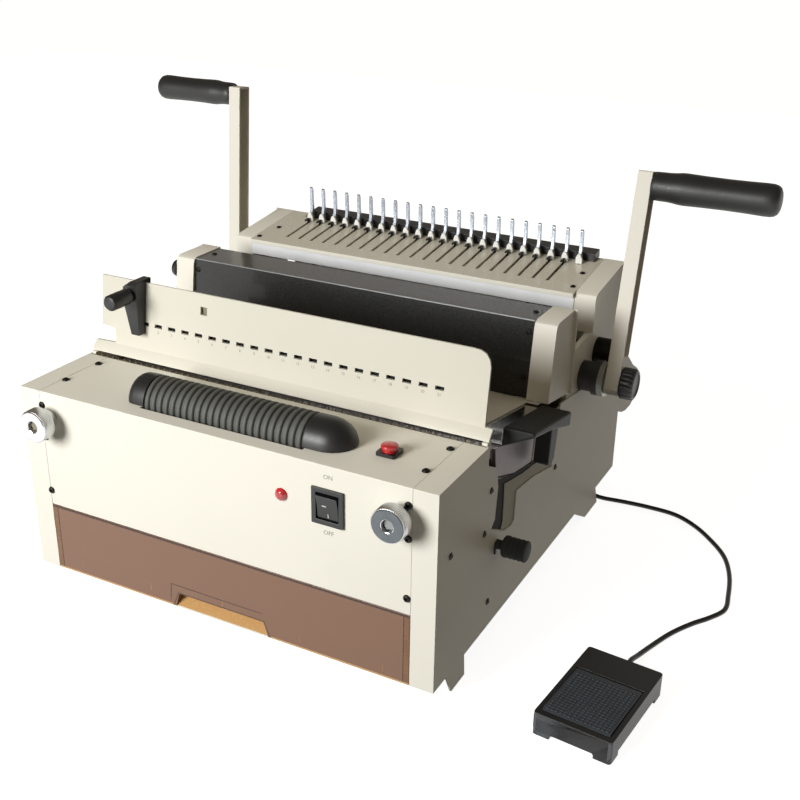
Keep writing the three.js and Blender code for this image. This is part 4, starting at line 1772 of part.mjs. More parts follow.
// Coil roller and its drive
piece(machine, 'roller_sleeve', rollerSleeve(), RUBBER);
piece(machine, 'roller_shaft', rollerShaft(), STEEL);
piece(machine, 'roller_cap_left',
  rollerCap(ROLLER_START_X - GAP, ROLLER_START_X - LEFT_CAP_LENGTH, false), BLACK_PLASTIC);
piece(machine, 'roller_cap_right',
  rollerCap(ROLLER_END_X + GAP, ROLLER_END_X + RIGHT_CAP_LENGTH, true), BLACK_PLASTIC);
piece(machine, 'roller_bearing_left', bearingBlock(ROLLER_START_X - LEFT_CAP_LENGTH / 2), STEEL);
piece(machine, 'roller_bearing_right', bearingBlock(ROLLER_END_X + BEARING_WIDTH), STEEL);
piece(machine, 'drive_motor', driveMotor(), STEEL);
piece(machine, 'motor_pulley', motorPulley(), STEEL);
piece(machine, 'drive_belt', driveBelt(), RUBBER);

// Controls
piece(machine, 'button_bezel', buttonBezel(), BLACK_PLASTIC);
piece(machine, 'push_button', pushButton(), RED);
piece(machine, 'pilot_lamp', pilotLamp(), RED);
piece(machine, 'switch_housing', switchHousing(), BLACK_PLASTIC);
const rockerFrame = new THREE.Group();
rockerFrame.position.set(SWITCH_X, 0, SWITCH_Z);
rockerFrame.rotation.x = ROCKER_TILT * RAD;
machine.add(rockerFrame);
piece(rockerFrame, 'switch_rocker', switchRocker(), BLACK_PLASTIC);
piece(machine, 'front_knob_left', frontKnob(-FRONT_KNOB_X), CHROME);
piece(machine, 'front_knob_right', frontKnob(FRONT_KNOB_X), CHROME);

// Pedal and its lead
const pedal = new THREE.Group();
pedal.position.set(PEDAL_X, PEDAL_Y, 0);
pedal.rotation.z = PEDAL_TURN * RAD;
machine.add(pedal);
piece(pedal, 'pedal_base', pedalBase(), BLACK_PLASTIC);
const treadFrame = new THREE.Group();
treadFrame.position.set(
  0, -PEDAL_LENGTH / 2 + TREAD_FRONT + TREAD_LENGTH - TREAD_KNUCKLE_RADIUS, PEDAL_HEIGHT - TREAD_KNUCKLE_RADIUS);
pedal.add(treadFrame);
piece(treadFrame, 'pedal_tread', pedalTread(), TREAD_RUBBER);
piece(machine, 'cord_gland', cordGland(), BLACK_PLASTIC);
piece(machine, 'pedal_cord', pedalCord(), BLACK_PLASTIC);

// The origin is on the table, under the middle of everything but the lead
machine.updateMatrixWorld(true);
const footprint = new THREE.Box3();
machine.traverse((node) => {
  if (node.isMesh && node.name !== 'pedal_cord') {
    footprint.expandByObject(node, true);
  }
});
const middle = footprint.getCenter(new THREE.Vector3());
const part = new THREE.Group();
machine.position.set(-middle.x, -middle.y, 0);
part.add(machine);

export default part;
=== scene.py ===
"""Finishes and fine pieces of a desktop binding machine and its foot pedal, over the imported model."""

import logging
import math
from dataclasses import dataclass, field
from enum import Enum
from typing import Callable, Iterable, Sequence

import bmesh
import bpy
from mathutils import Matrix, Vector


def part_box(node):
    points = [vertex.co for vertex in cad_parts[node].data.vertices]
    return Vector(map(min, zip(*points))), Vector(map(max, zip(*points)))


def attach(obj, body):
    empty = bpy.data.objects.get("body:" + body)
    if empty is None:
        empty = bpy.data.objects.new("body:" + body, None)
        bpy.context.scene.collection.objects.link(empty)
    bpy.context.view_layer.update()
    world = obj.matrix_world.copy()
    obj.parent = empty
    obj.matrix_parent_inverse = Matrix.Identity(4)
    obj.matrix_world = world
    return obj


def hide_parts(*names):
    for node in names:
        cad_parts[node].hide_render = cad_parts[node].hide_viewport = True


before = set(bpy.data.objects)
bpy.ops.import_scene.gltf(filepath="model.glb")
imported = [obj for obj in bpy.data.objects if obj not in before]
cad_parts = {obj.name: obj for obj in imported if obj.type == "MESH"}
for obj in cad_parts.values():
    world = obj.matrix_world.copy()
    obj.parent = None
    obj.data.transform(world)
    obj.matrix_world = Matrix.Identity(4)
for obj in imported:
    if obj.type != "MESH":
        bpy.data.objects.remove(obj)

LOG = logging.getLogger("binding_machine")
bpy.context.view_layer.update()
MM = 0.001
# The rings of a plastic comb lie 9/16 inch apart, and so do the slots, numbers and prongs, in millimetres.
COMB_PITCH = 14.2875
# Edges that bend by more than this many degrees stay sharp and are rounded.
SHARP_ANGLE = 32.0
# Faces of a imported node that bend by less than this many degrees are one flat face.
FLAT_ANGLE = 0.6
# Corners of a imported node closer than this, in metres, are one corner.
WELD = 0.00001
# How thick printed ink is drawn, in millimetres.
INK = 0.1
# The Mix node's colour sockets, which share their names with its sockets for numbers.
MIX_FIRST, MIX_SECOND, MIX_RESULT = 6, 7, 2

Point = Sequence[float]
Ring = list[tuple[float, float]]
Pairs = tuple[tuple[float, float], ...]
Triples = tuple[tuple[float, float, float], ...]


def machine_origin() -> Vector:
    """Where the machine's own front middle lies, in metres: the drawing's (0, 0, 0).

    Returns:
        The place under the middle of the front cover's face, on the table.
    """
    low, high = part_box("front_cover")
    return Vector(((low[0] + high[0]) / 2, low[1], 0.0))


ORIGIN = machine_origin()


def at(x: float, y: float, z: float) -> Vector:
    """A place given in millimetres from the machine's front middle, in the row frame."""
    return ORIGIN + Vector((x, y, z)) * MM


class Axis(Enum):
    """The direction that a turned or swept shape runs along."""

    X = "x"
    Y = "y"
    Z = "z"


@dataclass(frozen=True)
class Place:
    """A leaning or turned frame in the machine, in millimetres and degrees."""

    origin: tuple[float, float, float] = (0.0, 0.0, 0.0)
    lean: float = 0.0
    turn: float = 0.0

    def matrix(self) -> Matrix:
        """Turns this frame's millimetres into metres of the row frame.

        Returns:
            The matrix that does it.
        """
        shift = Matrix.Translation(at(*self.origin))
        lean = Matrix.Rotation(math.radians(self.lean), 4, "X")
        turn = Matrix.Rotation(math.radians(self.turn), 4, "Z")
        return shift @ turn @ lean @ Matrix.Scale(MM, 4)


MACHINE = Place()
BED = Place((0, 96, 188), lean=-10)
PUNCH_HANDLE = Place((0, 304, 171), lean=-12.3)
COMB_HANDLE = Place((0, 342, 182), lean=-4.4)
COMB_TOP = Place((0, 314, 243), lean=7.2)
PEDAL = Place((305, 64, 0), turn=-5.6)


@dataclass
class Shape:
    """Corners and faces that are gathered before they become one mesh."""

    corners: list[Vector] = field(default_factory=list)
    faces: list[list[int]] = field(default_factory=list)

    def add(self, other: "Shape") -> "Shape":
        """Joins another shape to this one.

        Args:
            other: the shape that is added.

        Returns:
            This shape, with both in it.
        """
        start = len(self.corners)
        self.corners.extend(other.corners)
        self.faces.extend([index + start for index in face] for face in other.faces)
        return self

    def moved(self, matrix: Matrix) -> "Shape":
        """A copy of the shape, moved by a matrix."""
        return Shape([matrix @ corner for corner in self.corners], [list(face) for face in self.faces])


def oriented(axis: Axis, along: float, u: float, v: float) -> Vector:
    """Makes a place from its distance along an axis and its two places across it.

    Args:
        axis: the axis.
        along: the distance along it.
        u: the first place across it, in the order X, Y, Z.
        v: the second place across it.

    Returns:
        The place.
    """
    if axis is Axis.X:
        return Vector((along, u, v))
    if axis is Axis.Y:
        return Vector((u, along, v))
    return Vector((u, v, along))


def turned(
    profile: Ring,
    axis: Axis,
    centre: tuple[float, float],
    steps: int = 64,
    ripple: Callable[[float, float], float] | None = None,
) -> Shape:
    """A profile turned round an axis.

    Args:
        profile: pairs of place along the axis and radius.
        axis: the axis that it turns round.
        centre: the axis's two places across itself.
        steps: how many sides the turn has.
        ripple: gives the change of radius from the angle and the place along the axis.

    Returns:
        The closed shape, with pointed ends where the radius is nought.
    """
    shape = Shape()
    rings: list[list[int]] = []
    for along, radius in profile:
        if radius <= 0:
            shape.corners.append(oriented(axis, along, *centre))
            rings.append([len(shape.corners) - 1])
            continue
        ring = []
        for step in range(steps):
            angle = 2 * math.pi * step / steps
            reach = radius + (ripple(angle, along) if ripple else 0.0)
            shape.corners.append(oriented(
                axis, along, centre[0] + reach * math.cos(angle), centre[1] + reach * math.sin(angle)))
            ring.append(len(shape.corners) - 1)
        rings.append(ring)
    for low, high in zip(rings, rings[1:]):
        if len(low) == 1 and len(high) == 1:
            continue
        for step in range(steps):
            after = (step + 1) % steps
            if len(low) == 1:
                shape.faces.append([low[0], high[after], high[step]])
            elif len(high) == 1:
                shape.faces.append([low[step], low[after], high[0]])
            else:
                shape.faces.append([low[step], low[after], high[after], high[step]])
    return shape


def prism(outline: Ring, axis: Axis, low: float, high: float) -> Shape:
    """An outline swept straight along an axis and closed at both ends.

    Args:
        outline: pairs of places across the axis, in order round the shape.
        axis: the axis that it is swept along.
        low: where it starts.
        high: where it ends.

    Returns:
        The closed shape.
    """
    count = len(outline)
    shape = Shape()
    for along in (low, high):
        shape.corners.extend(oriented(axis, along, u, v) for u, v in outline)
    shape.faces.append(list(range(count))[::-1])
    shape.faces.append([count + index for index in range(count)])
    for index in range(count):
        after = (index + 1) % count
        shape.faces.append([index, after, count + after, count + index])
    return shape


def slab(low: Point, high: Point) -> Shape:
    """A block between two opposite corners."""
    outline = [(low[0], low[1]), (high[0], low[1]), (high[0], high[1]), (low[0], high[1])]
    return prism(outline, Axis.Z, low[2], high[2])


def tidy_mesh(mesh: bpy.types.Mesh, sharp: float) -> None:
    """Turns all faces outwards and shades them smooth.

    Args:
        mesh: the mesh, which is changed in place.
        sharp: the edge angle up to which its faces blend, in degrees.
    """
    edit = bmesh.new()
    edit.from_mesh(mesh)
    bmesh.ops.recalc_face_normals(edit, faces=edit.faces)
    for face in edit.faces:
        face.smooth = True
    for edge in edit.edges:
        if len(edge.link_faces) == 2 and edge.calc_face_angle(0.0) > math.radians(sharp):
            edge.smooth = False
    edit.to_mesh(mesh)
    edit.free()


def bevelled(piece: bpy.types.Object, width: float, segments: int = 2, angle: float = SHARP_ANGLE) -> None:
    """Rounds the edges of a piece.

    Args:
        piece: the object.
        width: how far each edge is cut back, in millimetres.
        segments: how many facets the rounding has.
        angle: the sharpest edge that stays as it is, in degrees.
    """
    rounding = piece.modifiers.new("rounded edges", "BEVEL")
    rounding.width = width * MM
    rounding.segments = segments
    rounding.limit_method = "ANGLE"
    rounding.angle_limit = math.radians(angle)
    rounding.harden_normals = True
    rounding.use_clamp_overlap = True


def shaped(name: str, shape: Shape, place: Place = MACHINE, edge: float = 0.0,
           sharp: float = SHARP_ANGLE) -> bpy.types.Object:
    """Makes an object of a shape.

    Args:
        name: the piece's name.
        shape: its corners and faces in millimetres.
        place: the frame that these are given in.
        edge: how far its edges are rounded, in millimetres.
        sharp: the edge angle up to which its faces blend, in degrees.

    Returns:
        The new object.
    """
    matrix = place.matrix()
    mesh = bpy.data.meshes.new(name)
    mesh.from_pydata([matrix @ corner for corner in shape.corners], [], shape.faces)
    tidy_mesh(mesh, sharp)
    piece = bpy.data.objects.new(name, mesh)
    bpy.context.scene.collection.objects.link(piece)
    if edge > 0:
        bevelled(piece, edge)
    return piece


def carved(name: str, shape: Shape, cuts: Sequence[tuple[str, Shape]], edge: float) -> bpy.types.Object:
    """Makes an object of a shape after other shapes have worked on it.

    Args:
        name: the piece's name.
        shape: its corners and faces in the machine's millimetres.
        cuts: pairs of a boolean operation and the shape that it is done with.
        edge: how far the edges are rounded, in millimetres.

    Returns:
        The new object.
    """
    piece = shaped(name, shape)
    tools = []
    for operation, tool in cuts:
        tools.append(shaped(f"{name}_tool", tool))
        step = piece.modifiers.new("carve", "BOOLEAN")
        step.operation = operation
        step.solver = "EXACT"
        step.object = tools[-1]
    whole = piece.evaluated_get(bpy.context.evaluated_depsgraph_get())
    blank = piece.data
    piece.data = bpy.data.meshes.new_from_object(whole)
    piece.modifiers.clear()
    for spent in (blank, *(tool.data for tool in tools)):
        bpy.data.meshes.remove(spent)
    piece.data.name = name
    tidy_mesh(piece.data, SHARP_ANGLE)
    bevelled(piece, edge)
    return piece


def softened(node: str, edge: float, segments: int = 2) -> bpy.types.Object:
    """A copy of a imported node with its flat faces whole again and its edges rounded.

    Args:
        node: the node's name.
        edge: how far its edges are rounded, in millimetres.
        segments: how many facets the rounding has.

    Returns:
        The new object, which stands for the node.
    """
    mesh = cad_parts[node].data.copy()
    mesh.name = f"{node}_dressed"
    mesh.materials.clear()
    edit = bmesh.new()
    edit.from_mesh(mesh)
    bmesh.ops.remove_doubles(edit, verts=edit.verts, dist=WELD)
    bmesh.ops.dissolve_limit(edit, angle_limit=math.radians(FLAT_ANGLE), verts=edit.verts, edges=edit.edges)
    edit.to_mesh(mesh)
    edit.free()
    tidy_mesh(mesh, SHARP_ANGLE)
    piece = bpy.data.objects.new(mesh.name, mesh)
    bpy.context.scene.collection.objects.link(piece)
    bevelled(piece, edge, segments)
    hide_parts(node)
    return piece


def linear(colour: str) -> tuple[float, float, float, float]:
    """An sRGB hex colour turned to linear light.

    Args:
        colour: six hex digits after a hash sign.

    Returns:
        Red, green, blue and a full alpha.
    """
    parts = [int(colour[index:index + 2], 16) / 255 for index in (1, 3, 5)]
    light = [part / 12.92 if part <= 0.04045 else ((part + 0.055) / 1.055) ** 2.4 for part in parts]
    return (light[0], light[1], light[2], 1.0)


def add_node(
    tree: bpy.types.NodeTree,
    kind: str,
    settings: dict[str, object] | None = None,
    values: dict[str, object] | None = None,
    links: dict[str, bpy.types.NodeSocket] | None = None,
) -> bpy.types.Node:
    """Adds a node to a material.

    Args:
        tree: the material's tree.
        kind: the node's type name.
        settings: its own properties.
        values: numbers and colours for its inputs, by input name.
        links: sockets that feed its inputs, by input name.

    Returns:
        The new node.
    """
    node = tree.nodes.new(kind)
    for name, value in (settings or {}).items():
        setattr(node, name, value)
    for name, value in (values or {}).items():
        node.inputs[name].default_value = value
    for name, socket in (links or {}).items():
        tree.links.new(socket, node.inputs[name])
    return node


@dataclass(frozen=True)
class Finish:
    """A surface: its colours, its gloss and the fine pattern that its making left.

    grain is the size of the fine pattern in millimetres and relief its height in millimetres.
    mottle is the size of the slow colour change in millimetres. stretch draws the pattern out
    along X, as brushing does. sheen is the strength of the mirror layer. spread is the part of
    the slow noise that goes from shade to colour. foot is a last colour that it fades to between
    two heights in millimetres, given in fade from low to high.
    """

    name: str
    colour: str
    shade: str
    roughness: float
    metallic: float = 0.0
    ior: float = 1.5
    grain: float = 0.8
    relief: float = 0.02
    mottle: float = 60.0
    gloss_change: float = 0.06
    coat: float = 0.0
    stretch: float = 1.0
    glow: float = 0.0
    sheen: float = 0.5
    spread: tuple[float, float] = (0.0, 1.0)
    foot: str = ""
    fade: tuple[float, float] = (0.0, 1.0)

    def material(self) -> bpy.types.Material:
        """Makes the finish's material, once for all the pieces that have it.

        Returns:
            The material.
        """
        made = bpy.data.materials.get(self.name)
        if made:
            return made
        material = bpy.data.materials.new(self.name)
        material.use_nodes = True
        tree = material.node_tree
        tree.nodes.clear()
        spot = add_node(tree, "ShaderNodeTexCoord").outputs["Object"]
        run = add_node(tree, "ShaderNodeMapping", values={"Scale": (1 / self.stretch, 1.0, 1.0)},
                       links={"Vector": spot}).outputs["Vector"]
        broad = add_node(tree, "ShaderNodeTexNoise", values={"Scale": 1 / (self.mottle * MM), "Detail": 3.0},
                         links={"Vector": spot})
        fine = add_node(tree, "ShaderNodeTexNoise", values={"Scale": 1 / (self.grain * MM), "Detail": 2.0},
                        links={"Vector": run})
        patch = add_node(tree, "ShaderNodeMapRange", values={
            "From Min": self.spread[0], "From Max": self.spread[1]}, links={"Value": broad.outputs["Fac"]})
        colour = add_node(tree, "ShaderNodeMix", {"data_type": "RGBA"}, links={"Factor": patch.outputs["Result"]})
        colour.inputs[MIX_FIRST].default_value = linear(self.shade)
        colour.inputs[MIX_SECOND].default_value = linear(self.colour)
        if self.foot:
            height = add_node(tree, "ShaderNodeSeparateXYZ", links={"Vector": spot}).outputs["Z"]
            share = add_node(tree, "ShaderNodeMapRange", values={
                "From Min": self.fade[0] * MM, "From Max": self.fade[1] * MM}, links={"Value": height})
            upper = colour.outputs[MIX_RESULT]
            colour = add_node(tree, "ShaderNodeMix", {"data_type": "RGBA"}, links={"Factor": share.outputs["Result"]})
            colour.inputs[MIX_FIRST].default_value = linear(self.foot)
            tree.links.new(upper, colour.inputs[MIX_SECOND])
        gloss = add_node(tree, "ShaderNodeMapRange", values={
            "From Min": 0.3, "From Max": 0.7,
            "To Min": max(self.roughness - self.gloss_change, 0.02),
            "To Max": min(self.roughness + self.gloss_change, 1.0)}, links={"Value": fine.outputs["Fac"]})
        bump = add_node(tree, "ShaderNodeBump", values={"Strength": 1.0, "Distance": self.relief * MM},
                        links={"Height": fine.outputs["Fac"]})
        surface = add_node(tree, "ShaderNodeBsdfPrincipled", values={
            "Metallic": self.metallic, "IOR": self.ior, "Specular IOR Level": self.sheen,
            "Coat Weight": self.coat, "Coat Roughness": 0.08}, links={
            "Base Color": colour.outputs[MIX_RESULT], "Roughness": gloss.outputs["Result"],
            "Normal": bump.outputs["Normal"]})
        if self.glow > 0:
            surface.inputs["Emission Color"].default_value = linear(self.colour)
            surface.inputs["Emission Strength"].default_value = self.glow
        add_node(tree, "ShaderNodeOutputMaterial", links={"Surface": surface.outputs["BSDF"]})
        return material


# The grain of powder coats, mouldings and ground metal is finer than half a millimetre in truth
# and would not show from the camera, so it is drawn as coarse as it needs to show.

# Polyester powder coat on folded sheet: warm cream, with a fine orange peel that softens the gloss.
CREAM_COAT = Finish("cream_powder_coat", "#e9e6da", "#e3e0d3", 0.45, grain=1.1, relief=0.03, mottle=90, sheen=0.14)
# The same paint on the comb opener's top, rubbed glossy by sheets that slide over it, and painted a little darker as
# painted shade.
CREAM_GLOSSY_SHADED = Finish("glossy_cream_painted_shade", "#dcd8c8", "#d3cebc", 0.24, grain=1.4, relief=0.01, mottle=70, coat=0.3)
# The same paint on the turned-in rims of the side opening, where little light falls.
CREAM_SHADED = Finish("shaded_cream_coat", "#989179", "#8b846c", 0.5, grain=1.1, relief=0.03, mottle=30, sheen=0.14)
# Near-black sheet deep in the side opening: painted shade, as almost no light reaches there.
OPENING_SHADE = Finish("opening_painted_shade", "#211d15", "#17140e", 0.6, grain=0.9, relief=0.04, mottle=16, sheen=0.05)
# Galvanised sheet of the strip below the comb opener: its pale zinc is made near white, partly a painted highlight of
# the light it mirrors, with a soft long spangle.
GALVANISED_AND_HIGHLIGHT = Finish("galvanised_sheet_painted_highlight", "#fbfcfd", "#e9edf1", 0.45, 0.05, grain=0.7, relief=0.01, mottle=24, stretch=4)
# Light steel: a painted highlight along the bend of the punch cover's front edge, and the light colour of the right
# knob's hexagon.
LIGHT_STEEL_AND_HIGHLIGHT = Finish("light_steel_and_highlight", "#9da1a0", "#7d8080", 0.36, 0.5, grain=0.6, relief=0.01, mottle=30)
# Darker blue-grey steel face of the right front knob.
DARK_KNOB_STEEL = Finish("dark_blue_grey_steel", "#6d7276", "#565b5f", 0.3, 0.8, grain=0.7, relief=0.01, mottle=9)
# The cream paint of the paper plate, a shade greyer than the casing.
CREAM_PLATE = Finish("plate_cream_coat", "#d3d0c3", "#cdcabb", 0.42, grain=1.1, relief=0.03, mottle=90, sheen=0.14)
# Matt black moulding of the die's pull.
MATT_ABS = Finish("matt_black_abs", "#11110e", "#0c0c0a", 0.55, ior=1.53, grain=0.7, relief=0.03, mottle=40,
                  sheen=0.25)
# Dulled nickel blades of the prongs, cool in tone.
COOL_NICKEL = Finish("cool_nickel_blade", "#c3cad2", "#a9b1ba", 0.3, 0.7, grain=1.6, relief=0.004, mottle=9)
# Drawer corners where two smoked walls meet, lit from their edges.
SMOKED_CORNER = Finish("smoked_corner", "#85603f", "#634028", 0.3, ior=1.49, grain=2.0, relief=0.004, mottle=20)
# Dim marks of light inside the drawer's wall.
DIM_AMBER = Finish("dim_amber", "#98714f", "#7d5b3e", 0.4, ior=1.49, grain=2.0, relief=0.004, mottle=6)
# Dark olive paint on the toothed strip: painted shade, so that its teeth read as the dark slot they stand in.
STRIP_SHADE_OLIVE = Finish("toothed_strip_painted_shade", "#6b6243", "#4a432c", 0.5, grain=0.6, relief=0.02, mottle=12, sheen=0.3)
# Black powder coat of the punch unit's cover: satin, so it takes a long soft sheen along its top.
BLACK_COAT = Finish("black_powder_coat", "#151512", "#10100e", 0.3, grain=0.9, relief=0.02, mottle=60, coat=0.35)
# Moulded ABS: near black with the fine spark-eroded grain of its mould.
BLACK_ABS = Finish("black_moulded_abs", "#1b1b1c", "#151516", 0.42, ior=1.53, grain=0.7, relief=0.03, mottle=40)
# Handle grips: soft PVC over steel, a little greyer and duller where hands hold it.
GRIP_PVC = Finish("black_grip_pvc", "#222222", "#191919", 0.46, ior=1.52, grain=1.4, relief=0.05, mottle=25)
# Nitrile rubber of the ribbed roller: dusty dark grey on the crests.
ROLLER_RUBBER = Finish("grey_nitrile_rubber", "#555652", "#41423f", 0.62, ior=1.52, grain=0.6, relief=0.04, mottle=14)
# Plain black rubber sleeve and belt.
BLACK_RUBBER = Finish("black_rubber", "#1a1a1a", "#121212", 0.6, ior=1.52, grain=0.8, relief=0.05, mottle=20)
# Bright nickel plate over polished steel.
BRIGHT_NICKEL = Finish("bright_nickel_plate", "#d9dadc", "#c9cbcd", 0.16, 1.0, grain=3.0, relief=0.004, mottle=35,
                       gloss_change=0.05)
# Ground steel bar: fine marks along its length.
GROUND_STEEL = Finish("ground_steel", "#a3a5a7", "#8b8d90", 0.34, 1.0, grain=0.5, relief=0.012, mottle=30, stretch=24)
# Zinc-plated steel plates of the inner works.
ZINC_PLATE = Finish("zinc_plated_steel", "#9c9c97", "#84847e", 0.42, 1.0, grain=2.0, relief=0.01, mottle=16)
# Oiled tool steel of the die: grey with a faint violet tint.
DIE_STEEL = Finish("oiled_tool_steel", "#7c7473", "#645c5b", 0.5, 0.45, grain=0.6, relief=0.015, mottle=22)
# Natural nylon feet of the prongs: soft white.
WHITE_NYLON = Finish("natural_nylon", "#f4f4f0", "#e9e9e3", 0.4, grain=0.8, relief=0.01, mottle=12)
# Clear red polycarbonate of the lamp and the button's glossy cap, with a faint glow, which on the button is a painted
# glow.
GLOWING_RED_POLYCARBONATE = Finish("glowing_red_polycarbonate", "#c02a2c", "#a51f23", 0.2, ior=1.58, grain=1.5, relief=0.01,
                           mottle=8, coat=0.5, glow=0.05)
# Smoked acrylic of the chip drawer: brown and polished, with pale patches where its inside shows through.
# It is drawn solid, and its foot fades to a darker brown.
SMOKED_ACRYLIC = Finish("smoked_acrylic", "#7b6454", "#4f3828", 0.24, ior=1.49, grain=5.0, relief=0.004,
                        mottle=75, coat=0.1, sheen=0.3, spread=(0.36, 0.62), foot="#4a3123", fade=(6.0, 96.0))
# Painted shadow lines on the same acrylic, along its edges and round its pull.
SMOKED_SHADOW = Finish("smoked_acrylic_shadow", "#3a2014", "#2c170d", 0.3, ior=1.49, grain=3.0, relief=0.0, mottle=20)
# Cut and polished edges of the same acrylic, and the inside of its pull: painted light, amber with a faint glow, where
# they gather light.
AMBER_EDGE = Finish("amber_acrylic_edge", "#c49b66", "#b0854f", 0.25, ior=1.49, grain=2.0, relief=0.01,
                    mottle=25, coat=0.2, glow=0.06)
# Blackened steel of the screws and the comb shaft; on the hooks it is painted shade, so that the slots read dark.
BLACKENED_STEEL_AND_SHADE = Finish("blackened_steel_and_painted_shade", "#22201c", "#151410", 0.36, 0.6, grain=0.5, relief=0.02, mottle=5)
# Moulded tread pad of the pedal: blue-black vinyl.
TREAD_VINYL = Finish("tread_vinyl", "#3a3f46", "#2b3036", 0.55, ior=1.53, grain=0.8, relief=0.06, mottle=20)
# Grey paint of the plate on the pedal's front.
PEDAL_PLATE = Finish("grey_pedal_paint", "#434549", "#3a3c40", 0.42, grain=0.8, relief=0.03, mottle=18, coat=0.2)
# Flexible PVC of the lead.
LEAD_PVC = Finish("black_lead_pvc", "#141414", "#0d0d0d", 0.38, ior=1.53, grain=1.2, relief=0.02, mottle=15)
# Painted shade: the unlit space behind the plate's slots.
UNLIT_SPACE_SHADE = Finish("unlit_space", "#0b0b08", "#080806", 0.9, grain=0.8, relief=0.0, mottle=12)
# Brown oxide on the stop behind the sight hole and in the left knob's bore.
SIGHT_BROWN = Finish("brown_oxide", "#8b8371", "#7b7362", 0.5, grain=0.6, relief=0.02, mottle=6)
# Grey printed marks of the numbers and the switch.
GREY_INK = Finish("grey_ink", "#8d8b80", "#7f7d73", 0.6, grain=0.4, relief=0.0, mottle=6)
# White printed signs on the rocker.
WHITE_INK = Finish("white_ink", "#dededb", "#cfcfcb", 0.6, grain=0.4, relief=0.0, mottle=6)
# Seamless studio paper, lit so far that it is white.
STUDIO_PAPER = Finish("studio_paper", "#c4c4c4", "#c3c3c3", 0.9, grain=2.0, relief=0.0, mottle=900, glow=1.62)


def painted(piece: bpy.types.Object, finish: Finish) -> bpy.types.Object:
    """Gives every face of a piece one finish.

    Args:
        piece: the object.
        finish: what it is painted with.

    Returns:
        The piece.
    """
    piece.data.materials.clear()
    piece.data.materials.append(finish.material())
    return piece


def settled(piece: bpy.types.Object, finish: Finish, body: str) -> bpy.types.Object:
    """Paints a new piece and makes it ride.

    Args:
        piece: the object.
        finish: what it is painted with.
        body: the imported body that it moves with.

    Returns:
        The piece.
    """
    painted(piece, finish)
    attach(piece, body)
    LOG.info("piece %s rides on %s", piece.name, body)
    return piece


def rounded_node(node: str, finish: Finish, edge: float, segments: int = 2,
                 body: str = "machine") -> bpy.types.Object:
    """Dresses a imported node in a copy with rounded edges; the arguments are those of softened and settled."""
    return settled(softened(node, edge, segments), finish, body)


def added(name: str, shape: Shape, finish: Finish, body: str = "machine", place: Place = MACHINE,
          edge: float = 0.0, sharp: float = SHARP_ANGLE, node: str = "") -> bpy.types.Object:
    """Makes a new piece of a shape, paints it and makes it ride.

    Args:
        name: the piece's name.
        shape: its corners and faces in millimetres.
        finish: what it is painted with.
        body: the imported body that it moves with.
        place: the frame that the shape is given in.
        edge: how far its edges are rounded, in millimetres.
        sharp: the edge angle up to which its faces blend, in degrees.
        node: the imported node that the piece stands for, where there is one.

    Returns:
        The piece.
    """
    piece = shaped(name, shape, place, edge, sharp)
    if node:
        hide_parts(node)
    return settled(piece, finish, body)


def coated_node(node: str, finish: Finish) -> None:
    """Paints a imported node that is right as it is."""
    painted(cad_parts[node], finish)
    LOG.info("node %s painted %s", node, finish.name)


@dataclass(frozen=True)
class Screw:
    """A black button-head screw with a hexagon socket, in millimetres."""

    radius: float = 3.2
    height: float = 1.7

    def shape(self) -> Shape:
        """Turns the screw's head.

        Returns:
            The head, standing up along Z from its seat.
        """
        rise = self.height
        socket = self.radius * 0.42
        profile = [
            (-0.2, 0.0), (-0.2, self.radius), (rise * 0.15, self.radius), (rise * 0.6, self.radius * 0.9),
            (rise * 0.92, self.radius * 0.68), (rise, self.radius * 0.5), (rise, socket * 1.02),
            (rise * 0.25, socket), (rise * 0.2, 0.0)]
        return turned(profile, Axis.Z, (0.0, 0.0), 24)

    def placed(self, spot: Point, normal: Point) -> Shape:
        """The screw at a place, its head along a direction."""
        turn = Vector((0, 0, 1)).rotation_difference(Vector(normal)).to_matrix().to_4x4()
        return self.shape().moved(Matrix.Translation(Vector(spot)) @ turn)


def screw_set(name: str, spots: Iterable[tuple[Point, Point]], place: Place = MACHINE,
              screw: Screw = Screw()) -> bpy.types.Object:
    """Several screws in the machine's sheets, as one piece.

    Args:
        name: the piece's name.
        spots: the place and the outward direction of each screw.
        place: the frame that the spots are given in.
        screw: their size.

    Returns:
        The piece.
    """
    shape = Shape()
    for spot, normal in spots:
        shape.add(screw.placed(spot, normal))
    return added(name, shape, BLACKENED_STEEL_AND_SHADE, place=place, sharp=38)


def lettering(words: str, height: float, spot: Point) -> Shape:
    """Flat letters in the (x, z) plane of a frame, just proud of a surface.

    Args:
        words: what they say.
        height: the letters' size in millimetres.
        spot: the middle of the words in the frame.

    Returns:
        The letters' shape in that frame.
    """
    curve = bpy.data.curves.new("marks", "FONT")
    curve.body = words
    curve.size = height
    curve.align_x = "CENTER"
    curve.align_y = "CENTER"
    curve.extrude = INK / 2
    curve.resolution_u = 3
    holder = bpy.data.objects.new("marks", curve)
    mesh = bpy.data.meshes.new_from_object(holder)
    face = Matrix.Translation(Vector(spot)) @ Matrix.Rotation(math.radians(90), 4, "X")
    shape = Shape([face @ corner.co for corner in mesh.vertices], [list(face.vertices) for face in mesh.polygons])
    bpy.data.meshes.remove(mesh)
    bpy.data.objects.remove(holder)
    bpy.data.curves.remove(curve)
    return shape


def bearing(side: float, rise: float) -> Vector:
    """The direction from the machine to a place in front of it.

    Args:
        side: the angle from straight ahead towards the right, in degrees.
        rise: the angle above the table, in degrees.

    Returns:
        The direction, one long.
    """
    side, rise = math.radians(side), math.radians(rise)
    return Vector((math.sin(side) * math.cos(rise), -math.cos(side) * math.cos(rise), math.sin(rise)))


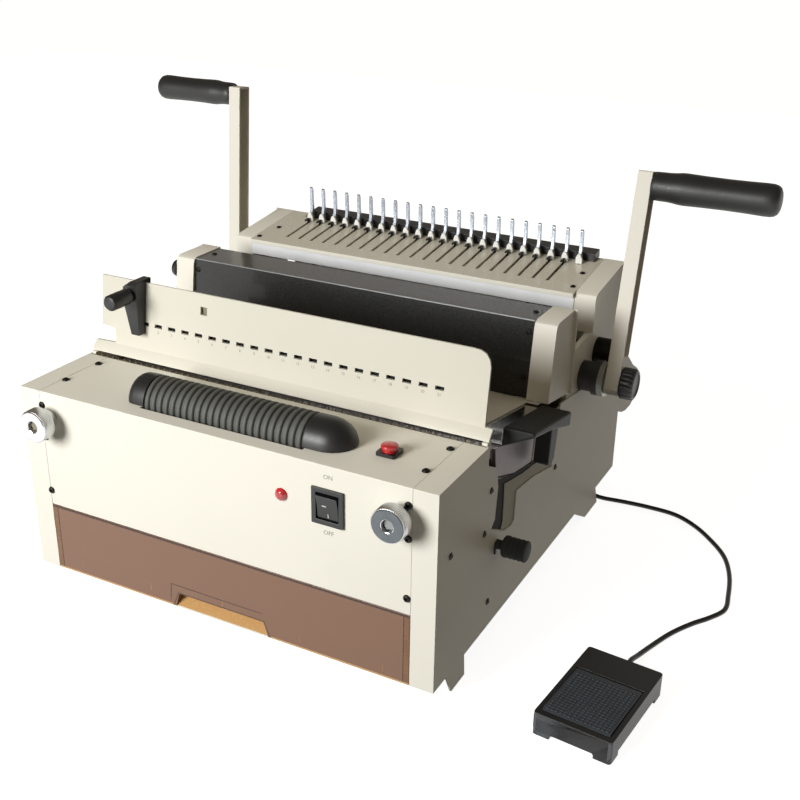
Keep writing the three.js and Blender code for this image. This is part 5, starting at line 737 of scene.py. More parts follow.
@dataclass
class Studio:
    """Camera, lights and floor.

    Places are in millimetres, lights' sizes and reach in metres, angles in degrees and the
    strengths of lights in watts.
    """

    lens: float = 51.788
    azimuth: float = 27.3345
    elevation: float = 24.0062
    roll: float = 0.9018
    spot: tuple[float, float, float] = (492.8, -638.1, 576.5)
    air: float = 0.22
    air_tint: str = "#ffefd6"
    air_rise: tuple[float, float] = (-0.02, 0.06)
    key: float = 27.0
    key_size: float = 0.7
    key_aim: tuple[float, float, float] = (0.0, 0.0, 110.0)
    key_reach: float = 1.42
    key_side: float = -20.0
    key_rise: float = 24.0
    wall: float = 8.5
    wall_size: tuple[float, float] = (5.0, 1.6)
    wall_spot: tuple[float, float, float] = (0.0, 2800.0, 900.0)
    floor_reach: float = 90000.0

    def camera(self) -> None:
        """The camera where the photographer stood."""
        data = bpy.data.cameras.new("photo_camera")
        data.lens = self.lens
        data.sensor_width = 36.0
        data.clip_end = 60.0
        camera = bpy.data.objects.new("photo_camera", data)
        bpy.context.scene.collection.objects.link(camera)
        side, roll = math.radians(self.azimuth), math.radians(self.roll)
        back = bearing(self.azimuth, self.elevation)
        right = Vector((math.cos(side), math.sin(side), 0.0))
        up = back.cross(right)
        across = math.cos(roll) * right + math.sin(roll) * up
        upright = -math.sin(roll) * right + math.cos(roll) * up
        turn = Matrix((across, upright, back)).transposed().to_4x4()
        camera.matrix_world = Matrix.Translation(at(*self.spot)) @ turn
        bpy.context.scene.camera = camera

    def lights(self) -> None:
        """A low key from the front left, a pale wall behind and weak warm air above the floor."""
        world = bpy.data.worlds.new("studio_air")
        world.use_nodes = True
        tree = world.node_tree
        ray = add_node(tree, "ShaderNodeTexCoord").outputs["Generated"]
        height = add_node(tree, "ShaderNodeSeparateXYZ", links={"Vector": ray}).outputs["Z"]
        air = add_node(tree, "ShaderNodeMapRange", values={
            "From Min": self.air_rise[0], "From Max": self.air_rise[1], "To Min": 0.0, "To Max": self.air},
            links={"Value": height})
        tree.nodes["Background"].inputs["Color"].default_value = linear(self.air_tint)
        tree.links.new(air.outputs["Result"], tree.nodes["Background"].inputs["Strength"])
        bpy.context.scene.world = world
        key = bpy.data.lights.new("key", "AREA")
        key.shape = "DISK"
        key.size = self.key_size
        key.energy = self.key
        towards = bearing(self.key_side, self.key_rise)
        self.hung("key", key, at(*self.key_aim) + towards * self.key_reach, -towards)
        wall = bpy.data.lights.new("back_wall", "AREA")
        wall.shape = "RECTANGLE"
        wall.size, wall.size_y = self.wall_size
        wall.energy = self.wall
        self.hung("back_wall", wall, at(*self.wall_spot), Vector((0, -1, 0))).visible_camera = False
        bpy.context.scene.view_settings.view_transform = "Standard"

    def hung(self, name: str, data: bpy.types.Light, spot: Vector, way: Vector) -> bpy.types.Object:
        """Hangs a light in the studio.

        Args:
            name: the light's name.
            data: its kind, size and strength.
            spot: where it hangs, in metres.
            way: the direction that it shines along.

        Returns:
            The light.
        """
        light = bpy.data.objects.new(name, data)
        bpy.context.scene.collection.objects.link(light)
        light.location = spot
        light.rotation_euler = way.to_track_quat("-Z", "Y").to_euler()
        return light

    def floor(self) -> None:
        """The pale table top, lit from below so that only soft shadows tell on it."""
        reach = self.floor_reach
        plane = shaped("floor", slab((-reach, -reach, -30), (reach, reach, -0.05)))
        plane.visible_diffuse = False
        painted(plane, STUDIO_PAPER)


@dataclass
class FootPedal:
    """Pedal beside the machine, with its hinged tread and its lead."""

    lead_radius: float = 2.2
    route: Triples = (
        (172.3, 389, 8), (178, 389, 8), (185, 389.1, 6), (192, 389.4, 3.4), (200, 390, 2.5),
        (220, 392.7, 2.4), (247, 394.3, 2.4), (275, 392, 2.4), (297, 380, 2.4), (318, 360.4, 2.4),
        (337, 336, 2.4), (349, 306, 2.4), (356, 272, 2.4), (358.5, 247, 2.4), (350, 229, 2.4),
        (339, 213, 2.4), (327, 191, 2.4), (317.5, 165, 2.7), (312, 144, 4.6), (309.7, 131.5, 7.1),
        (309.36, 125.1, 7.5))
    route_steps: int = 5
    hinge: float = 16.5
    tread_length: float = 59.5
    tread_height: float = 20.0
    tread_rise: float = 1.2
    rows: int = 17
    columns: int = 15
    row_pitch: float = 3.2
    column_pitch: float = 3.4
    pimple: tuple[float, float] = (1.15, 1.05)
    front: Pairs = (
        (-31.2, 6.5), (-29.5, 3.4), (-28.2, 1.0), (-25.5, 0.2), (-21.5, 0.2), (-19, 1.2), (-16.5, 4.2),
        (16.5, 4.2), (19, 1.2), (21.5, 0.2), (25.5, 0.2), (28.2, 1.0), (29.5, 3.4), (31.2, 6.5),
        (31.2, 18.4), (30.4, 19.4), (-30.4, 19.4), (-31.2, 18.4))

    def lead(self) -> None:
        """The thin lead, from the gland behind the right side to the pedal's boot."""
        curve = bpy.data.curves.new("pedal_lead", "CURVE")
        curve.dimensions = "3D"
        curve.bevel_depth = self.lead_radius * MM
        curve.bevel_resolution = 4
        curve.use_fill_caps = True
        points = [at(*point) for point in self.route]
        smooth = smooth_route(points, self.route_steps)
        spline = curve.splines.new("POLY")
        spline.points.add(len(smooth) - 1)
        for knot, point in zip(spline.points, smooth):
            knot.co = (*point, 1.0)
        lead = bpy.data.objects.new("pedal_lead", curve)
        bpy.context.scene.collection.objects.link(lead)
        curve.materials.append(LEAD_PVC.material())
        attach(lead, "machine")
        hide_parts("pedal_cord")

    def build(self) -> None:
        """Dresses the housing and the tread."""
        rounded_node("pedal_base", BLACK_ABS, 0.9, 3)
        rounded_node("pedal_tread", TREAD_VINYL, 0.4, body="tread")
        rounded_node("cord_gland", BLACK_ABS, 0.3)
        pimples = Shape()
        wide, deep = self.pimple
        for row in range(self.rows):
            for column in range(self.columns):
                x = (column - (self.columns - 1) / 2) * self.column_pitch
                y = self.hinge - 5.5 - row * self.row_pitch
                rise = self.tread_height + self.tread_rise * (self.hinge - y) / self.tread_length
                pimples.add(slab((x - wide, y - deep, rise - 0.6), (x + wide, y + deep, rise + 0.45)))
        added("tread_grip", pimples, TREAD_VINYL, "tread", PEDAL, 0.25)
        plate = prism(list(self.front), Axis.Y, -49.0, -48.2)
        added("pedal_front_plate", plate, PEDAL_PLATE, place=PEDAL, edge=0.3)


def smooth_route(points: Sequence[Vector], steps: int) -> list[Vector]:
    """A centripetal curve through a route.

    Args:
        points: the route's places.
        steps: how many places each stretch between two of them gets.

    Returns:
        Places along the curve, from the first point to the last.
    """
    ends = [points[0] * 2 - points[1], *points, points[-1] * 2 - points[-2]]
    result = []
    for index in range(len(points) - 1):
        a, b, c, d = ends[index:index + 4]
        t1 = (b - a).length ** 0.5
        t2 = t1 + (c - b).length ** 0.5
        t3 = t2 + (d - c).length ** 0.5
        for step in range(steps):
            t = t1 + (t2 - t1) * step / steps
            ab = a * ((t1 - t) / t1) + b * (t / t1)
            bc = b * ((t2 - t) / (t2 - t1)) + c * ((t - t1) / (t2 - t1))
            cd = c * ((t3 - t) / (t3 - t2)) + d * ((t - t2) / (t3 - t2))
            abc = ab * ((t2 - t) / t2) + bc * (t / t2)
            bcd = bc * ((t3 - t) / (t3 - t1)) + cd * ((t - t1) / (t3 - t1))
            result.append(abc * ((t2 - t) / (t2 - t1)) + bcd * ((t - t1) / (t2 - t1)))
    result.append(points[-1])
    return result


@dataclass
class Casing:
    """Folded cream sheets round the works, with their screws."""

    sheet_edge: float = 0.5
    plate_edge: float = 0.4
    half_width: float = 195.0
    deck: float = 191.0
    side_screw: Screw = Screw(3.0, 1.3)
    front_screws: Pairs = (
        (171.3, 176.5), (171.3, 149.2), (171.3, 98.4), (-172.6, 178.2), (-172.6, 149), (-173.2, 97.9))
    deck_screws: Pairs = ((170.6, 28), (170.6, 69), (-170.6, 28), (-170.6, 69))
    side_screws: Pairs = (
        (85, 115.9), (22.7, 129.4), (98.7, 45.5), (242.7, 103.8), (95.2, 149.6))

    def build(self) -> None:
        """Dresses the sheets and adds the screws."""
        for node in ("left_side_panel", "right_side_panel", "front_cover", "rear_panel", "base_pan", "rear_deck"):
            rounded_node(node, CREAM_COAT, self.sheet_edge)
        for node in ("left_side_plate", "right_side_plate"):
            rounded_node(node, CREAM_COAT, self.plate_edge)
        screw_set("front_screws", [((x, 0.0, z), (0, -1, 0)) for x, z in self.front_screws])
        screw_set("deck_screws", [((x, y, self.deck), (0, 0, 1)) for x, y in self.deck_screws])
        for side, way in (("right", 1), ("left", -1)):
            spots = [((way * self.half_width, y, z), (way, 0, 0)) for y, z in self.side_screws]
            screw_set(f"{side}_screws", spots, screw=self.side_screw)


@dataclass
class ChipDrawer:
    """Smoked drawer whose polished edges gather light."""

    half_width: float = 174.3
    top: float = 84.0
    foot: float = 20.8
    pull_foot: float = 48.6
    pull_head: float = 42.9
    pull_rise: float = 14.2
    outline_rise: float = 21.2
    line: float = 0.6
    sunk: float = 0.02
    glints: Pairs = (
        (-146.4, 31.0), (-71.7, 32.3), (2.3, 39.6), (76.5, 30.2), (151.7, 29.2))
    glint: Pairs = ((-0.9, -3.4), (0.9, -3.4), (0.7, 0.6), (0.3, 3.8), (-0.3, 3.6))

    def strip(self, low: tuple[float, float], high: tuple[float, float], proud: float = 0.08) -> Shape:
        """A thin strip on the drawer's face between two opposite corners (x, z)."""
        return slab((low[0], -proud, low[1]), (high[0], self.sunk, high[1]))

    def leaning(self, outline: Ring, proud: float = 0.08) -> Shape:
        """A thin form of any outline (x, z) on the drawer's face."""
        return prism(outline, Axis.Y, -proud, self.sunk)

    def both_sides(self, insets: tuple[float, float], low: float, high: float, proud: float = 0.08) -> Shape:
        """Upright strips near both sides of the drawer's face.

        Args:
            insets: how far their outer and inner edges lie from the side.
            low: the height of their feet.
            high: the height of their heads.
            proud: how far they stand off the face.

        Returns:
            Both strips.
        """
        pair = Shape()
        for side in (-1, 1):
            start, end = sorted(side * (self.half_width - inset) for inset in insets)
            pair.add(self.strip((start, low), (end, high), proud))
        return pair

    def build(self) -> None:
        """Dresses the drawer, its lit edges and its finger pull."""
        rounded_node("chip_drawer", SMOKED_ACRYLIC, 0.5, body="drawer")
        added("drawer_shadow_lines", self.shadow_lines(), SMOKED_SHADOW, "drawer")
        sides = self.both_sides((0.5, 4.9), self.foot + 1.8, self.top - 2.4, 0.06)
        added("drawer_double_sides", sides, SMOKED_CORNER, "drawer")
        low, high, reach = self.foot + 0.3, self.foot + 1.7, self.half_width - 0.4
        light = self.strip((-reach, low), (-self.pull_foot - 0.3, high))
        light.add(self.strip((self.pull_foot + 0.3, low), (reach, high)))
        added("drawer_lit_edges", light, AMBER_EDGE, "drawer")
        glints = Shape()
        for x, z in self.glints:
            glints.add(self.leaning([(x + across, z + up) for across, up in self.glint], 0.07))
        added("drawer_glints", glints, DIM_AMBER, "drawer")
        # The pull's amber inside is painted light, with a faint glow.
        scoop = Shape()
        for depth, half, z in ((1.0, 46.6, self.foot + 0.5), (15.6, 41.8, self.foot + 12.4)):
            scoop.corners.extend(Vector((x, depth + thick, z)) for thick in (0.0, 0.5) for x in (-half, half))
        scoop.faces = [[0, 1, 5, 4], [2, 6, 7, 3], [0, 2, 3, 1], [4, 5, 7, 6], [0, 4, 6, 2], [1, 3, 7, 5]]
        added("drawer_pull_scoop", scoop, AMBER_EDGE, "drawer")

    def shadow_lines(self) -> Shape:
        """Draws the painted shadow lines along the drawer's top, its sides and round its pull.

        Returns:
            All the lines in one shape.
        """
        foot, head, line = self.foot, self.top - 2.3, self.line
        reach = self.half_width - 0.4
        shadow = self.strip((-reach, head), (reach, self.top - 0.4))
        shadow.add(self.both_sides((5.6, 5.0), foot + 1.8, head))
        rise, inner = foot + self.pull_rise, 0.985
        for side in (-1, 1):
            low, high = side * self.pull_foot, side * self.pull_head
            shadow.add(self.leaning([
                (low, foot + line), (high, rise), (high * inner, rise), (low * inner, foot + line)]))
        shadow.add(self.strip((-self.pull_head, rise - line), (self.pull_head, rise)))
        start, rise, low = -50.0, foot + self.outline_rise, foot + 4.0
        shadow.add(self.strip((start, rise - line), (41.0, rise)))
        shadow.add(self.leaning([(-51.6, low), (start, rise), (start + line, rise), (-51.6 + line, low)]))
        return shadow


@dataclass
class Throat:
    """Toothed strip, paper plate with its numbers and the edge guide."""

    pitch: float = COMB_PITCH
    count: int = 21
    crease: tuple[float, float] = (94.7, 201.7)
    top: tuple[float, float] = (102.4, 261.6)
    slot_shift: float = 3.8
    slot_half: float = 3.9
    slot_rise: tuple[float, float] = (223.2, 226.6)
    number_height: float = 3.4
    number_rise: float = 18.0

    def across(self, index: int) -> float:
        """The place of a slot and its number across the machine."""
        return (index - (self.count - 1) / 2) * self.pitch + self.slot_shift

    def build(self) -> None:
        """Dresses the throat's pieces and prints the hole numbers."""
        # The toothed strip is painted dark olive as painted shade of its slot.
        rounded_node("throat_strip", STRIP_SHADE_OLIVE, 0.15)
        self.plate()
        rounded_node("edge_guide", BLACK_ABS, 0.6, body="guide")
        self.numbers()
        self.guide_knob()

    def plate(self) -> None:
        """Folded plate that the sheets lean on, with a dark slot for each comb ring and a sight hole."""
        line = [(88.4, 193.9), (89.4, 196.4), self.crease, self.top]
        back = [(91.2, 193.6), (92.1, 195.7), (97.0, 200.9), (104.0, 261.6)]
        front = [(-194.9, 190.0), (194.9, 190.0), (194.9, 201.7), (187.0, 202.4), (187.0, 249.0), (185.8, 254.6),
                 (182.4, 259.0), (177.6, 261.0), (171.0, 261.5), (-187.0, 261.5), (-187.0, 217.0), (-172.0, 215.5),
                 (-172.0, 202.4), (-194.9, 201.7)]
        holes = slab((-80.4, 60, 243.2), (-73.6, 140, 250.4))
        for index in range(self.count):
            x, half = self.across(index), self.slot_half
            holes.add(slab((x - half, 60, self.slot_rise[0]), (x + half, 140, self.slot_rise[1])))
        piece = carved("paper_plate_dressed", prism(line + back[::-1], Axis.X, -193.6, 193.6), [
            ("INTERSECT", prism(front, Axis.Y, 60, 140)), ("DIFFERENCE", holes)], 0.3)
        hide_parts("paper_plate")
        settled(piece, CREAM_PLATE, "machine")
        added("slot_shade", slab((-156, 101.6, 219), (162, 102.1, 230)), UNLIT_SPACE_SHADE)
        added("sight_pin", slab((-80.0, 103.4, 242.6), (-74.0, 103.9, 251)), SIGHT_BROWN)

    def numbers(self) -> None:
        """Small hole numbers under the slots."""
        lean = math.degrees(math.atan2(self.top[0] - self.crease[0], self.top[1] - self.crease[1]))
        plate = Place((0, self.crease[0], self.crease[1]), lean=-lean)
        marks = Shape()
        for index in range(self.count):
            spot = (self.across(index), -0.03, self.number_rise)
            marks.add(lettering(str(index + 1), self.number_height, spot))
        added("hole_numbers", marks, GREY_INK, place=plate)

    def guide_knob(self) -> None:
        """Turned screw knob of the edge guide."""
        profile = [
            (62.0, 0.0), (62.0, 5.4), (62.3, 5.9), (63.2, 6.6), (64.2, 6.95), (83.6, 6.98), (85.2, 6.5),
            (87.2, 5.4), (87.6, 5.2), (87.6, 2.4), (99.5, 2.4), (99.5, 0.0)]
        knob = turned(profile, Axis.Y, (-146.0, 253.0), 48)
        added("guide_screw_knob", knob, BLACK_ABS, "guide_screw", node="edge_guide_knob")


@dataclass
class DieGroup:
    """Pull-out die, its guide plate and what presses its pins.

    sill is the lower and rear edge of the side opening, as places (y, z).
    """

    sill: Pairs = (
        (128.1, 97.4), (141.9, 95.4), (147.8, 97.5), (149.4, 124.3), (167.6, 122.5), (188.2, 119.9),
        (232.2, 109.4), (241.1, 132.6), (244.4, 163.5))
    sheet: float = 193.5
    pull_stations: Triples = (
        (17.4, -5.4, 7.6), (60.0, -2.4, 5.0), (103.6, -5.4, -1.2))
    pull_top: float = 11.6

    def build(self) -> None:
        """Dresses the die group."""
        rounded_node("guide_plate", BRIGHT_NICKEL, 0.5, 3)
        rounded_node("throat_anvil", GROUND_STEEL, 0.15)
        coated_node("die_bed", ZINC_PLATE)
        rounded_node("punch_die", DIE_STEEL, 0.3, body="die")
        coated_node("pin_bar", GROUND_STEEL)
        coated_node("press_bar", GROUND_STEEL)
        self.pull()
        self.opening()
        self.plunger()

    def plunger(self) -> None:
        """Ribbed sleeve on the stem of the die's lock."""
        profile = [(178.0, 0.0), (178.0, 4.0), (201.6, 4.0), (201.6, 8.0), (202.2, 8.8), (203.4, 9.1)]
        profile += [(205.0 + step * 1.9, 9.1 - 0.6 * (step % 2)) for step in range(8)]
        profile += [(220.6, 9.1), (221.6, 8.6), (222.0, 7.8), (222.0, 0.0)]
        sleeve = turned(profile, Axis.X, (112.0, 93.0), 56)
        added("plunger_sleeve", sleeve, BLACK_RUBBER, "plunger", node="side_plunger")

    def opening(self) -> None:
        """Dark sheet of painted shade, and the turned-in rim, that show in the side opening under the die."""
        deep = [(104.4, 152.6), (104.8, 143), (102, 120), (98.6, 113.6), *self.sill,
                (194.5, 163.5), (194.0, 134.0), (179.5, 134.2), (138.5, 142.8), (109.0, 152.4)]
        # A near-black sheet of painted shade over what is seen deep in the opening.
        added("opening_shade_sheet", prism(deep, Axis.X, self.sheet - 0.25, self.sheet), OPENING_SHADE)
        turned_in = [*self.sill, (236.5, 163.5), (233.5, 136), (226.5, 121.5), (188, 130.5), (165, 133.4),
                     (150, 136.5), (124, 142), (124.5, 108), (121, 101.4)]
        rim = prism(turned_in, Axis.X, self.sheet, self.sheet + 0.7)
        added("opening_rim", rim, CREAM_SHADED, edge=0.2)
        pin = slab((195.0, 107.4, 85.5), (196.4, 108.8, 96.0))
        added("plunger_stop_pin", pin, BLACKENED_STEEL_AND_SHADE, edge=0.4)

    def pull(self) -> None:
        """Moulded pull of the die: a slab that thickens towards its rear, with a leg below it."""
        low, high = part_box("die_pull")
        inner, outer = ((side[0] - ORIGIN.x) / MM for side in (low, high))
        slope = Shape()
        for along, under, outside in self.pull_stations:
            slope.corners.extend(Vector(spot) for spot in (
                (inner + 0.2, along, under), (outer - 2.6, along, outside),
                (outer - 2.6, along, self.pull_top), (inner + 0.2, along, self.pull_top)))
        for step in (0, 4):
            slope.faces.extend(
                [step + a, step + b, step + 4 + b, step + 4 + a] for a, b in ((0, 1), (1, 2), (2, 3), (3, 0)))
        slope.faces.extend([[0, 3, 2, 1], [8, 9, 10, 11]])
        added("die_pull_dressed", slope, MATT_ABS, "die", BED, 2.0, node="die_pull")
        leg = prism([(80.4, 1.0), (82.5, -31.5), (85.0, -33.6), (92.0, -33.6), (96.6, -29.0), (96.8, 1.0)],
                    Axis.X, inner + 6.0, inner + 19.6)
        added("die_pull_leg", leg, MATT_ABS, "die", BED, 1.0, node="die_pull")


@dataclass
class PunchUnit:
    """Black cover between cream brackets, and the handle on the right.

    face_lean is how far the cover's face goes back for each millimetre that it rises, from
    face_spot (y, z).
    """

    cover_half: float = 175.4
    edge_spot: tuple[float, float] = (220.7, 246.3)
    edge_radius: float = 0.62
    face_lean: float = 0.124
    face_spot: tuple[float, float] = (219.2, 234.0)
    face_screws: Pairs = ((-172, 236), (-168, 196), (171, 236), (170, 196))
    top_screws: Triples = ((-168, 241, 246.6), (168, 241, 246.6))
    collar: Pairs = (
        (206.2, 14.2), (206.2, 16.3), (211.8, 16.3), (212.4, 15.7), (212.4, 14.2))
    flutes: int = 18
    flute_depth: float = 1.1

    def build(self) -> None:
        """Dresses the punch unit and its handle."""
        rounded_node("punch_cover", BLACK_COAT, 1.2, 4)
        # A thin light bead along the cover's front bend: a painted highlight.
        half, radius = self.cover_half, self.edge_radius
        bead = turned([(-half, 0.0), (-half, radius), (half, radius), (half, 0.0)], Axis.X, self.edge_spot, 16)
        added("cover_edge_highlight", bead, LIGHT_STEEL_AND_HIGHLIGHT)
        for node in ("punch_end_left", "punch_end_right"):
            rounded_node(node, CREAM_COAT, 0.9, 3)
        rounded_node("punch_end_dome", BLACK_ABS, 0.5)
        coated_node("punch_shaft", ZINC_PLATE)
        rounded_node("punch_hub", BLACK_ABS, 0.7, 3)
        rounded_node("punch_handle_arm", CREAM_COAT, 0.4, body="punch_lever")
        collar = turned(list(self.collar), Axis.X, (0.0, 0.0), 56)
        added("bush_collar", collar, BLACK_ABS, "punch_lever", PUNCH_HANDLE)
        grip = moulded_grip(231.3, 340.0, 14.0, 176.0)
        added("punch_grip", grip, GRIP_PVC, "punch_lever", PUNCH_HANDLE, node="punch_handle_grip")
        self.cap_knob()
        front, level = self.face_spot
        lean = (0, -0.992, self.face_lean)
        spots = [((x, front - (level - z) * self.face_lean, z), lean) for x, z in self.face_screws]
        spots += [(spot, (0, 0, 1)) for spot in self.top_screws]
        screw_set("cover_screws", spots, screw=Screw(2.6, 1.2))

    def cap_knob(self) -> None:
        """Ribbed round knob at the foot of the punch handle."""
        def ripple(angle: float, along: float) -> float:
            """Shallow flutes round the rim that fade out at its face."""
            fade = max(0.0, min(1.0, (244.0 - along) / 2.0))
            return -self.flute_depth * fade * max(0.0, math.cos(self.flutes * angle)) ** 2

        profile = [
            (231.3, 0.0), (231.3, 13.2), (232.0, 14.3), (233.6, 14.6), (236.0, 14.6), (240.0, 14.6), (242.2, 14.4),
            (243.6, 13.6), (244.3, 12.0), (244.5, 11.2), (243.3, 10.2), (243.1, 5.0), (243.3, 0.0)]
        knob = turned(profile, Axis.X, (0.0, 0.0), 144, ripple)
        added("punch_cap_knob", knob, BLACK_ABS, "punch_lever", PUNCH_HANDLE, sharp=50,
              node="punch_handle_knob")


def moulded_grip(start: float, end: float, radius: float, reach: float) -> Shape:
    """A waisted grip with a rounded end, along X.

    Args:
        start: where it meets its arm, in millimetres.
        end: its free end.
        radius: its largest radius.
        reach: how far up the handle it sits.

    Returns:
        The grip's shape in the handle's frame.
    """
    length = end - start
    shares = [
        (0.0, 0.0), (0.0, 0.84), (0.008, 0.88), (0.06, 0.895), (0.12, 0.9), (0.17, 0.93), (0.22, 0.985),
        (0.26, 0.995), (0.4, 0.965), (0.58, 0.95), (0.75, 0.965), (0.88, 0.995), (0.93, 0.985), (0.962, 0.92),
        (0.982, 0.8), (0.994, 0.6), (1.0, 0.35), (1.0, 0.0)]
    return turned([(start + length * along, radius * size) for along, size in shares], Axis.X, (0.0, reach), 56)


@dataclass
class CombOpener:
    """Slotted plate with prongs and hooks, and the handle on the left.

    The first prong stands prong_start pitches left of the middle. The prongs' tips sink a little
    from left to right, as they do in the photo.
    """

    pitch: float = COMB_PITCH
    prong_count: int = 22
    prong_start: float = 10.0
    prong_rise: float = 35.6
    prong_fall: float = 0.17
    prong_half: float = 1.6
    foot: Pairs = ((-3.3, 0.1), (3.3, 0.1), (3.2, 5.5), (1.6, 9.6), (-1.6, 9.6), (-3.2, 5.5))
    rail: Pairs = ((-155.0, 0.1), (170.0, 0.1), (170.0, 8.2), (-146.0, 8.2))
    top_screws: Pairs = ((-171, 9), (-165, 37), (170, 14), (168, 45))

    def build(self) -> None:
        """Dresses the comb opener and its handle."""
        self.plate()
        for node in ("comb_end_left", "comb_end_right"):
            rounded_node(node, CREAM_COAT, 0.9, 3)
        self.prongs()
        # The hooks are painted black as painted shade of the slots they sit in.
        rounded_node("hook_carriage", BLACKENED_STEEL_AND_SHADE, 0.2, body="hooks")
        # The strip's near white is partly its pale zinc and partly a painted highlight.
        rounded_node("comb_front_strip", GALVANISED_AND_HIGHLIGHT, 0.3)
        coated_node("comb_shaft", BLACKENED_STEEL_AND_SHADE)
        rounded_node("comb_handle_arm", CREAM_COAT, 0.4, body="comb_lever")
        grip = moulded_grip(-220.3, -312.0, 12.5, 198.0)
        added("comb_grip", grip, GRIP_PVC, "comb_lever", COMB_HANDLE, node="comb_handle_grip")
        spots = [((x, y, 0.0), (0, 0, 1)) for x, y in self.top_screws]
        screw_set("comb_screws", spots, COMB_TOP, Screw(2.6, 1.2))

    def plate(self) -> None:
        """Slotted top with its folded front lip, and the black rail that stands behind the prongs."""
        # The comb opener's top is painted a little darker than the casing, as painted shade.
        rounded_node("comb_plate", CREAM_GLOSSY_SHADED, 0.35)
        lip = slab((-175.6, -0.9, -4.4), (175.6, 0.3, 0.0))
        added("comb_front_lip", lip, CREAM_COAT, place=COMB_TOP, edge=0.5)
        rail = prism(list(self.rail), Axis.Y, 73.4, 87.6)
        added("comb_rear_rail", rail, BLACK_ABS, place=COMB_TOP, edge=0.5, node="comb_rear_cap")

    def prongs(self) -> None:
        """Flat bright prongs that widen at their feet, on the bar below the plate."""
        bright, feet = Shape(), Shape()
        bright.add(slab((-174.4, 64.8, -10.2), (174.4, 74.6, -2.4)))
        for index in range(self.prong_count):
            x = (index - self.prong_start) * self.pitch
            tip = self.prong_rise - index * self.prong_fall
            outline = [(64.8, -2.6), (68.6, -2.6), (68.9, 1.0), (72.0, 11.5), (73.6, tip - 3.4), (72.2, tip),
                       (70.6, tip - 1.4), (68.6, 13.0), (64.8, 4.2)]
            bright.add(prism(outline, Axis.X, x - self.prong_half, x + self.prong_half))
            feet.add(prism([(x + across, z) for across, z in self.foot], Axis.Y, 63.6, 66.4))
        added("bright_prongs", bright, COOL_NICKEL, place=COMB_TOP, edge=0.3, node="prong_comb")
        added("prong_feet", feet, WHITE_NYLON, place=COMB_TOP, edge=0.8)


@dataclass
class CoilDrive:
    """Ribbed roller between its two half-round caps, and its motor under the deck."""

    start: float = -78.0
    ribs: int = 24
    pitch: float = 6.25
    radius: float = 20.0
    bore: float = 4.3
    groove: float = 2.2
    axle: tuple[float, float] = (36.0, 191.0)

    def build(self) -> None:
        """Dresses the coil drive."""
        self.sleeve()
        for node in ("roller_cap_left", "roller_cap_right"):
            rounded_node(node, BLACK_ABS, 0.5)
        coated_node("roller_shaft", GROUND_STEEL)
        for node in ("roller_bearing_left", "roller_bearing_right", "drive_motor"):
            coated_node(node, ZINC_PLATE)
        coated_node("motor_pulley", GROUND_STEEL)
        coated_node("drive_belt", BLACK_RUBBER)

    def sleeve(self) -> None:
        """Round-crested ribs of the roller."""
        profile: Ring = [(self.start, self.bore)]
        crest = [(0.0, -self.groove), (0.1, -1.9), (0.16, -0.6), (0.24, -0.1), (0.34, 0.0), (0.58, 0.0),
                 (0.68, -0.1), (0.76, -0.6), (0.82, -1.9), (0.92, -self.groove)]
        for rib in range(self.ribs):
            profile += [(self.start + (rib + share) * self.pitch, self.radius + drop) for share, drop in crest]
        end = self.start + self.ribs * self.pitch
        profile += [(end, self.radius - self.groove), (end, self.bore), (self.start, self.bore)]
        sleeve = turned(profile, Axis.X, self.axle, 72)
        added("roller_rubber", sleeve, ROLLER_RUBBER, "roller", sharp=45, node="roller_sleeve")


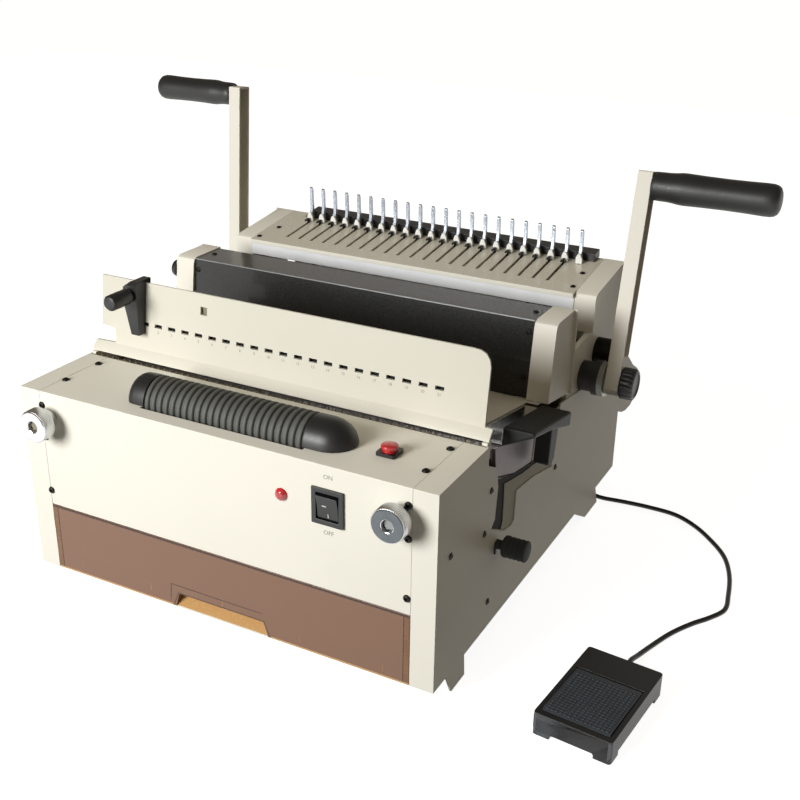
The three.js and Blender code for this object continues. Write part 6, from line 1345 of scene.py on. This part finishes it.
@dataclass
class Controls:
    """Button, lamp, rocker switch and the two knurled knobs."""

    switch_across: float = 104.7
    switch_height: float = 157.2
    rocker_lean: float = 9.0
    word_height: float = 5.2
    words: tuple[tuple[str, float], ...] = (("ON", 181.5), ("OFF", 134.5))
    knob_across: float = 165.0
    knob_height: float = 168.0
    knurls: int = 30
    knurl_depth: float = 0.8
    knurl_reach: tuple[float, float] = (-20.2, -9.4)

    def build(self) -> None:
        """Dresses the controls."""
        rounded_node("button_bezel", BLACK_ABS, 0.4)
        # The push button's faint glow is a painted glow; it is no lamp.
        rounded_node("push_button", GLOWING_RED_POLYCARBONATE, 0.4, 3, body="button")
        rounded_node("pilot_lamp", GLOWING_RED_POLYCARBONATE, 0.3)
        rounded_node("switch_housing", BLACK_ABS, 0.5)
        rounded_node("switch_rocker", BLACK_ABS, 0.4, body="rocker")
        for side, node, body in ((-1, "front_knob_left", "left_knob"), (1, "front_knob_right", "right_knob")):
            self.knob(side * self.knob_across, node, body)
        words = Shape()
        for word, height in self.words:
            words.add(lettering(word, self.word_height, (self.switch_across, -0.04, height)))
        added("switch_words", words, GREY_INK)
        tilted = Place((self.switch_across, 0.0, self.switch_height), lean=self.rocker_lean)
        signs = slab((-4.2, -2.35, 0.9), (-0.6, -1.8, 1.7))
        signs.add(slab((0.3, -2.75, -8.2), (1.1, -1.9, -5.2)))
        added("rocker_signs", signs, WHITE_INK, "rocker", tilted)

    def knob(self, x: float, node: str, body: str) -> None:
        """Makes one knurled knob with a dished face; the right one's face is darker.

        Args:
            x: its place across the machine.
            node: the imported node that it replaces.
            body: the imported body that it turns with.
        """
        def ripple(angle: float, along: float) -> float:
            """Straight knurl on the rim between its two chamfers."""
            cut = self.knurl_reach[0] < along < self.knurl_reach[1]
            return -self.knurl_depth * abs(math.sin(self.knurls * angle)) if cut else 0.0

        profile = [
            (-14.0, 0.0), (-14.0, 4.9), (-20.4, 5.0), (-20.9, 5.6), (-20.6, 9.4), (-20.1, 10.2), (-20.5, 11.4),
            (-20.6, 12.4), (-20.3, 13.4), (-20.1, 14.0), (-9.6, 14.0), (-9.3, 13.2), (-8.2, 10.2), (-7.4, 8.0),
            (-0.3, 8.0), (-0.3, 3.5), (14.0, 3.5), (14.0, 0.0)]
        centre = (x, self.knob_height)
        rim = turned(profile, Axis.Y, centre, 240, ripple)
        added(f"knurled_{node}", rim, BRIGHT_NICKEL, body, sharp=55, node=node)
        face_finish, bore_finish = (DARK_KNOB_STEEL, LIGHT_STEEL_AND_HIGHLIGHT) if x > 0 else (BRIGHT_NICKEL, SIGHT_BROWN)
        face = turned([(-20.5, 5.3), (-21.0, 5.6), (-21.0, 12.6), (-20.4, 13.2), (-20.3, 5.3)], Axis.Y, centre, 64)
        added(f"{node}_face", face, face_finish, body)
        socket = turned([(-17.4, 0.0), (-17.4, 4.7), (-14.2, 4.7), (-14.2, 0.0)], Axis.Y, centre, 6)
        added(f"{node}_hexagon", socket, bore_finish, body)


def main() -> None:
    """Builds the studio and every sub-assembly in order."""
    logging.basicConfig(level=logging.INFO, format="%(name)s: %(message)s")
    studio = Studio()
    studio.camera()
    pedal = FootPedal()
    pedal.lead()
    studio.lights()
    studio.floor()
    for part in (Casing(), ChipDrawer(), Throat(), DieGroup(), PunchUnit(), CombOpener(), CoilDrive(), Controls()):
        part.build()
    pedal.build()


if __name__ == "__main__":
    main()
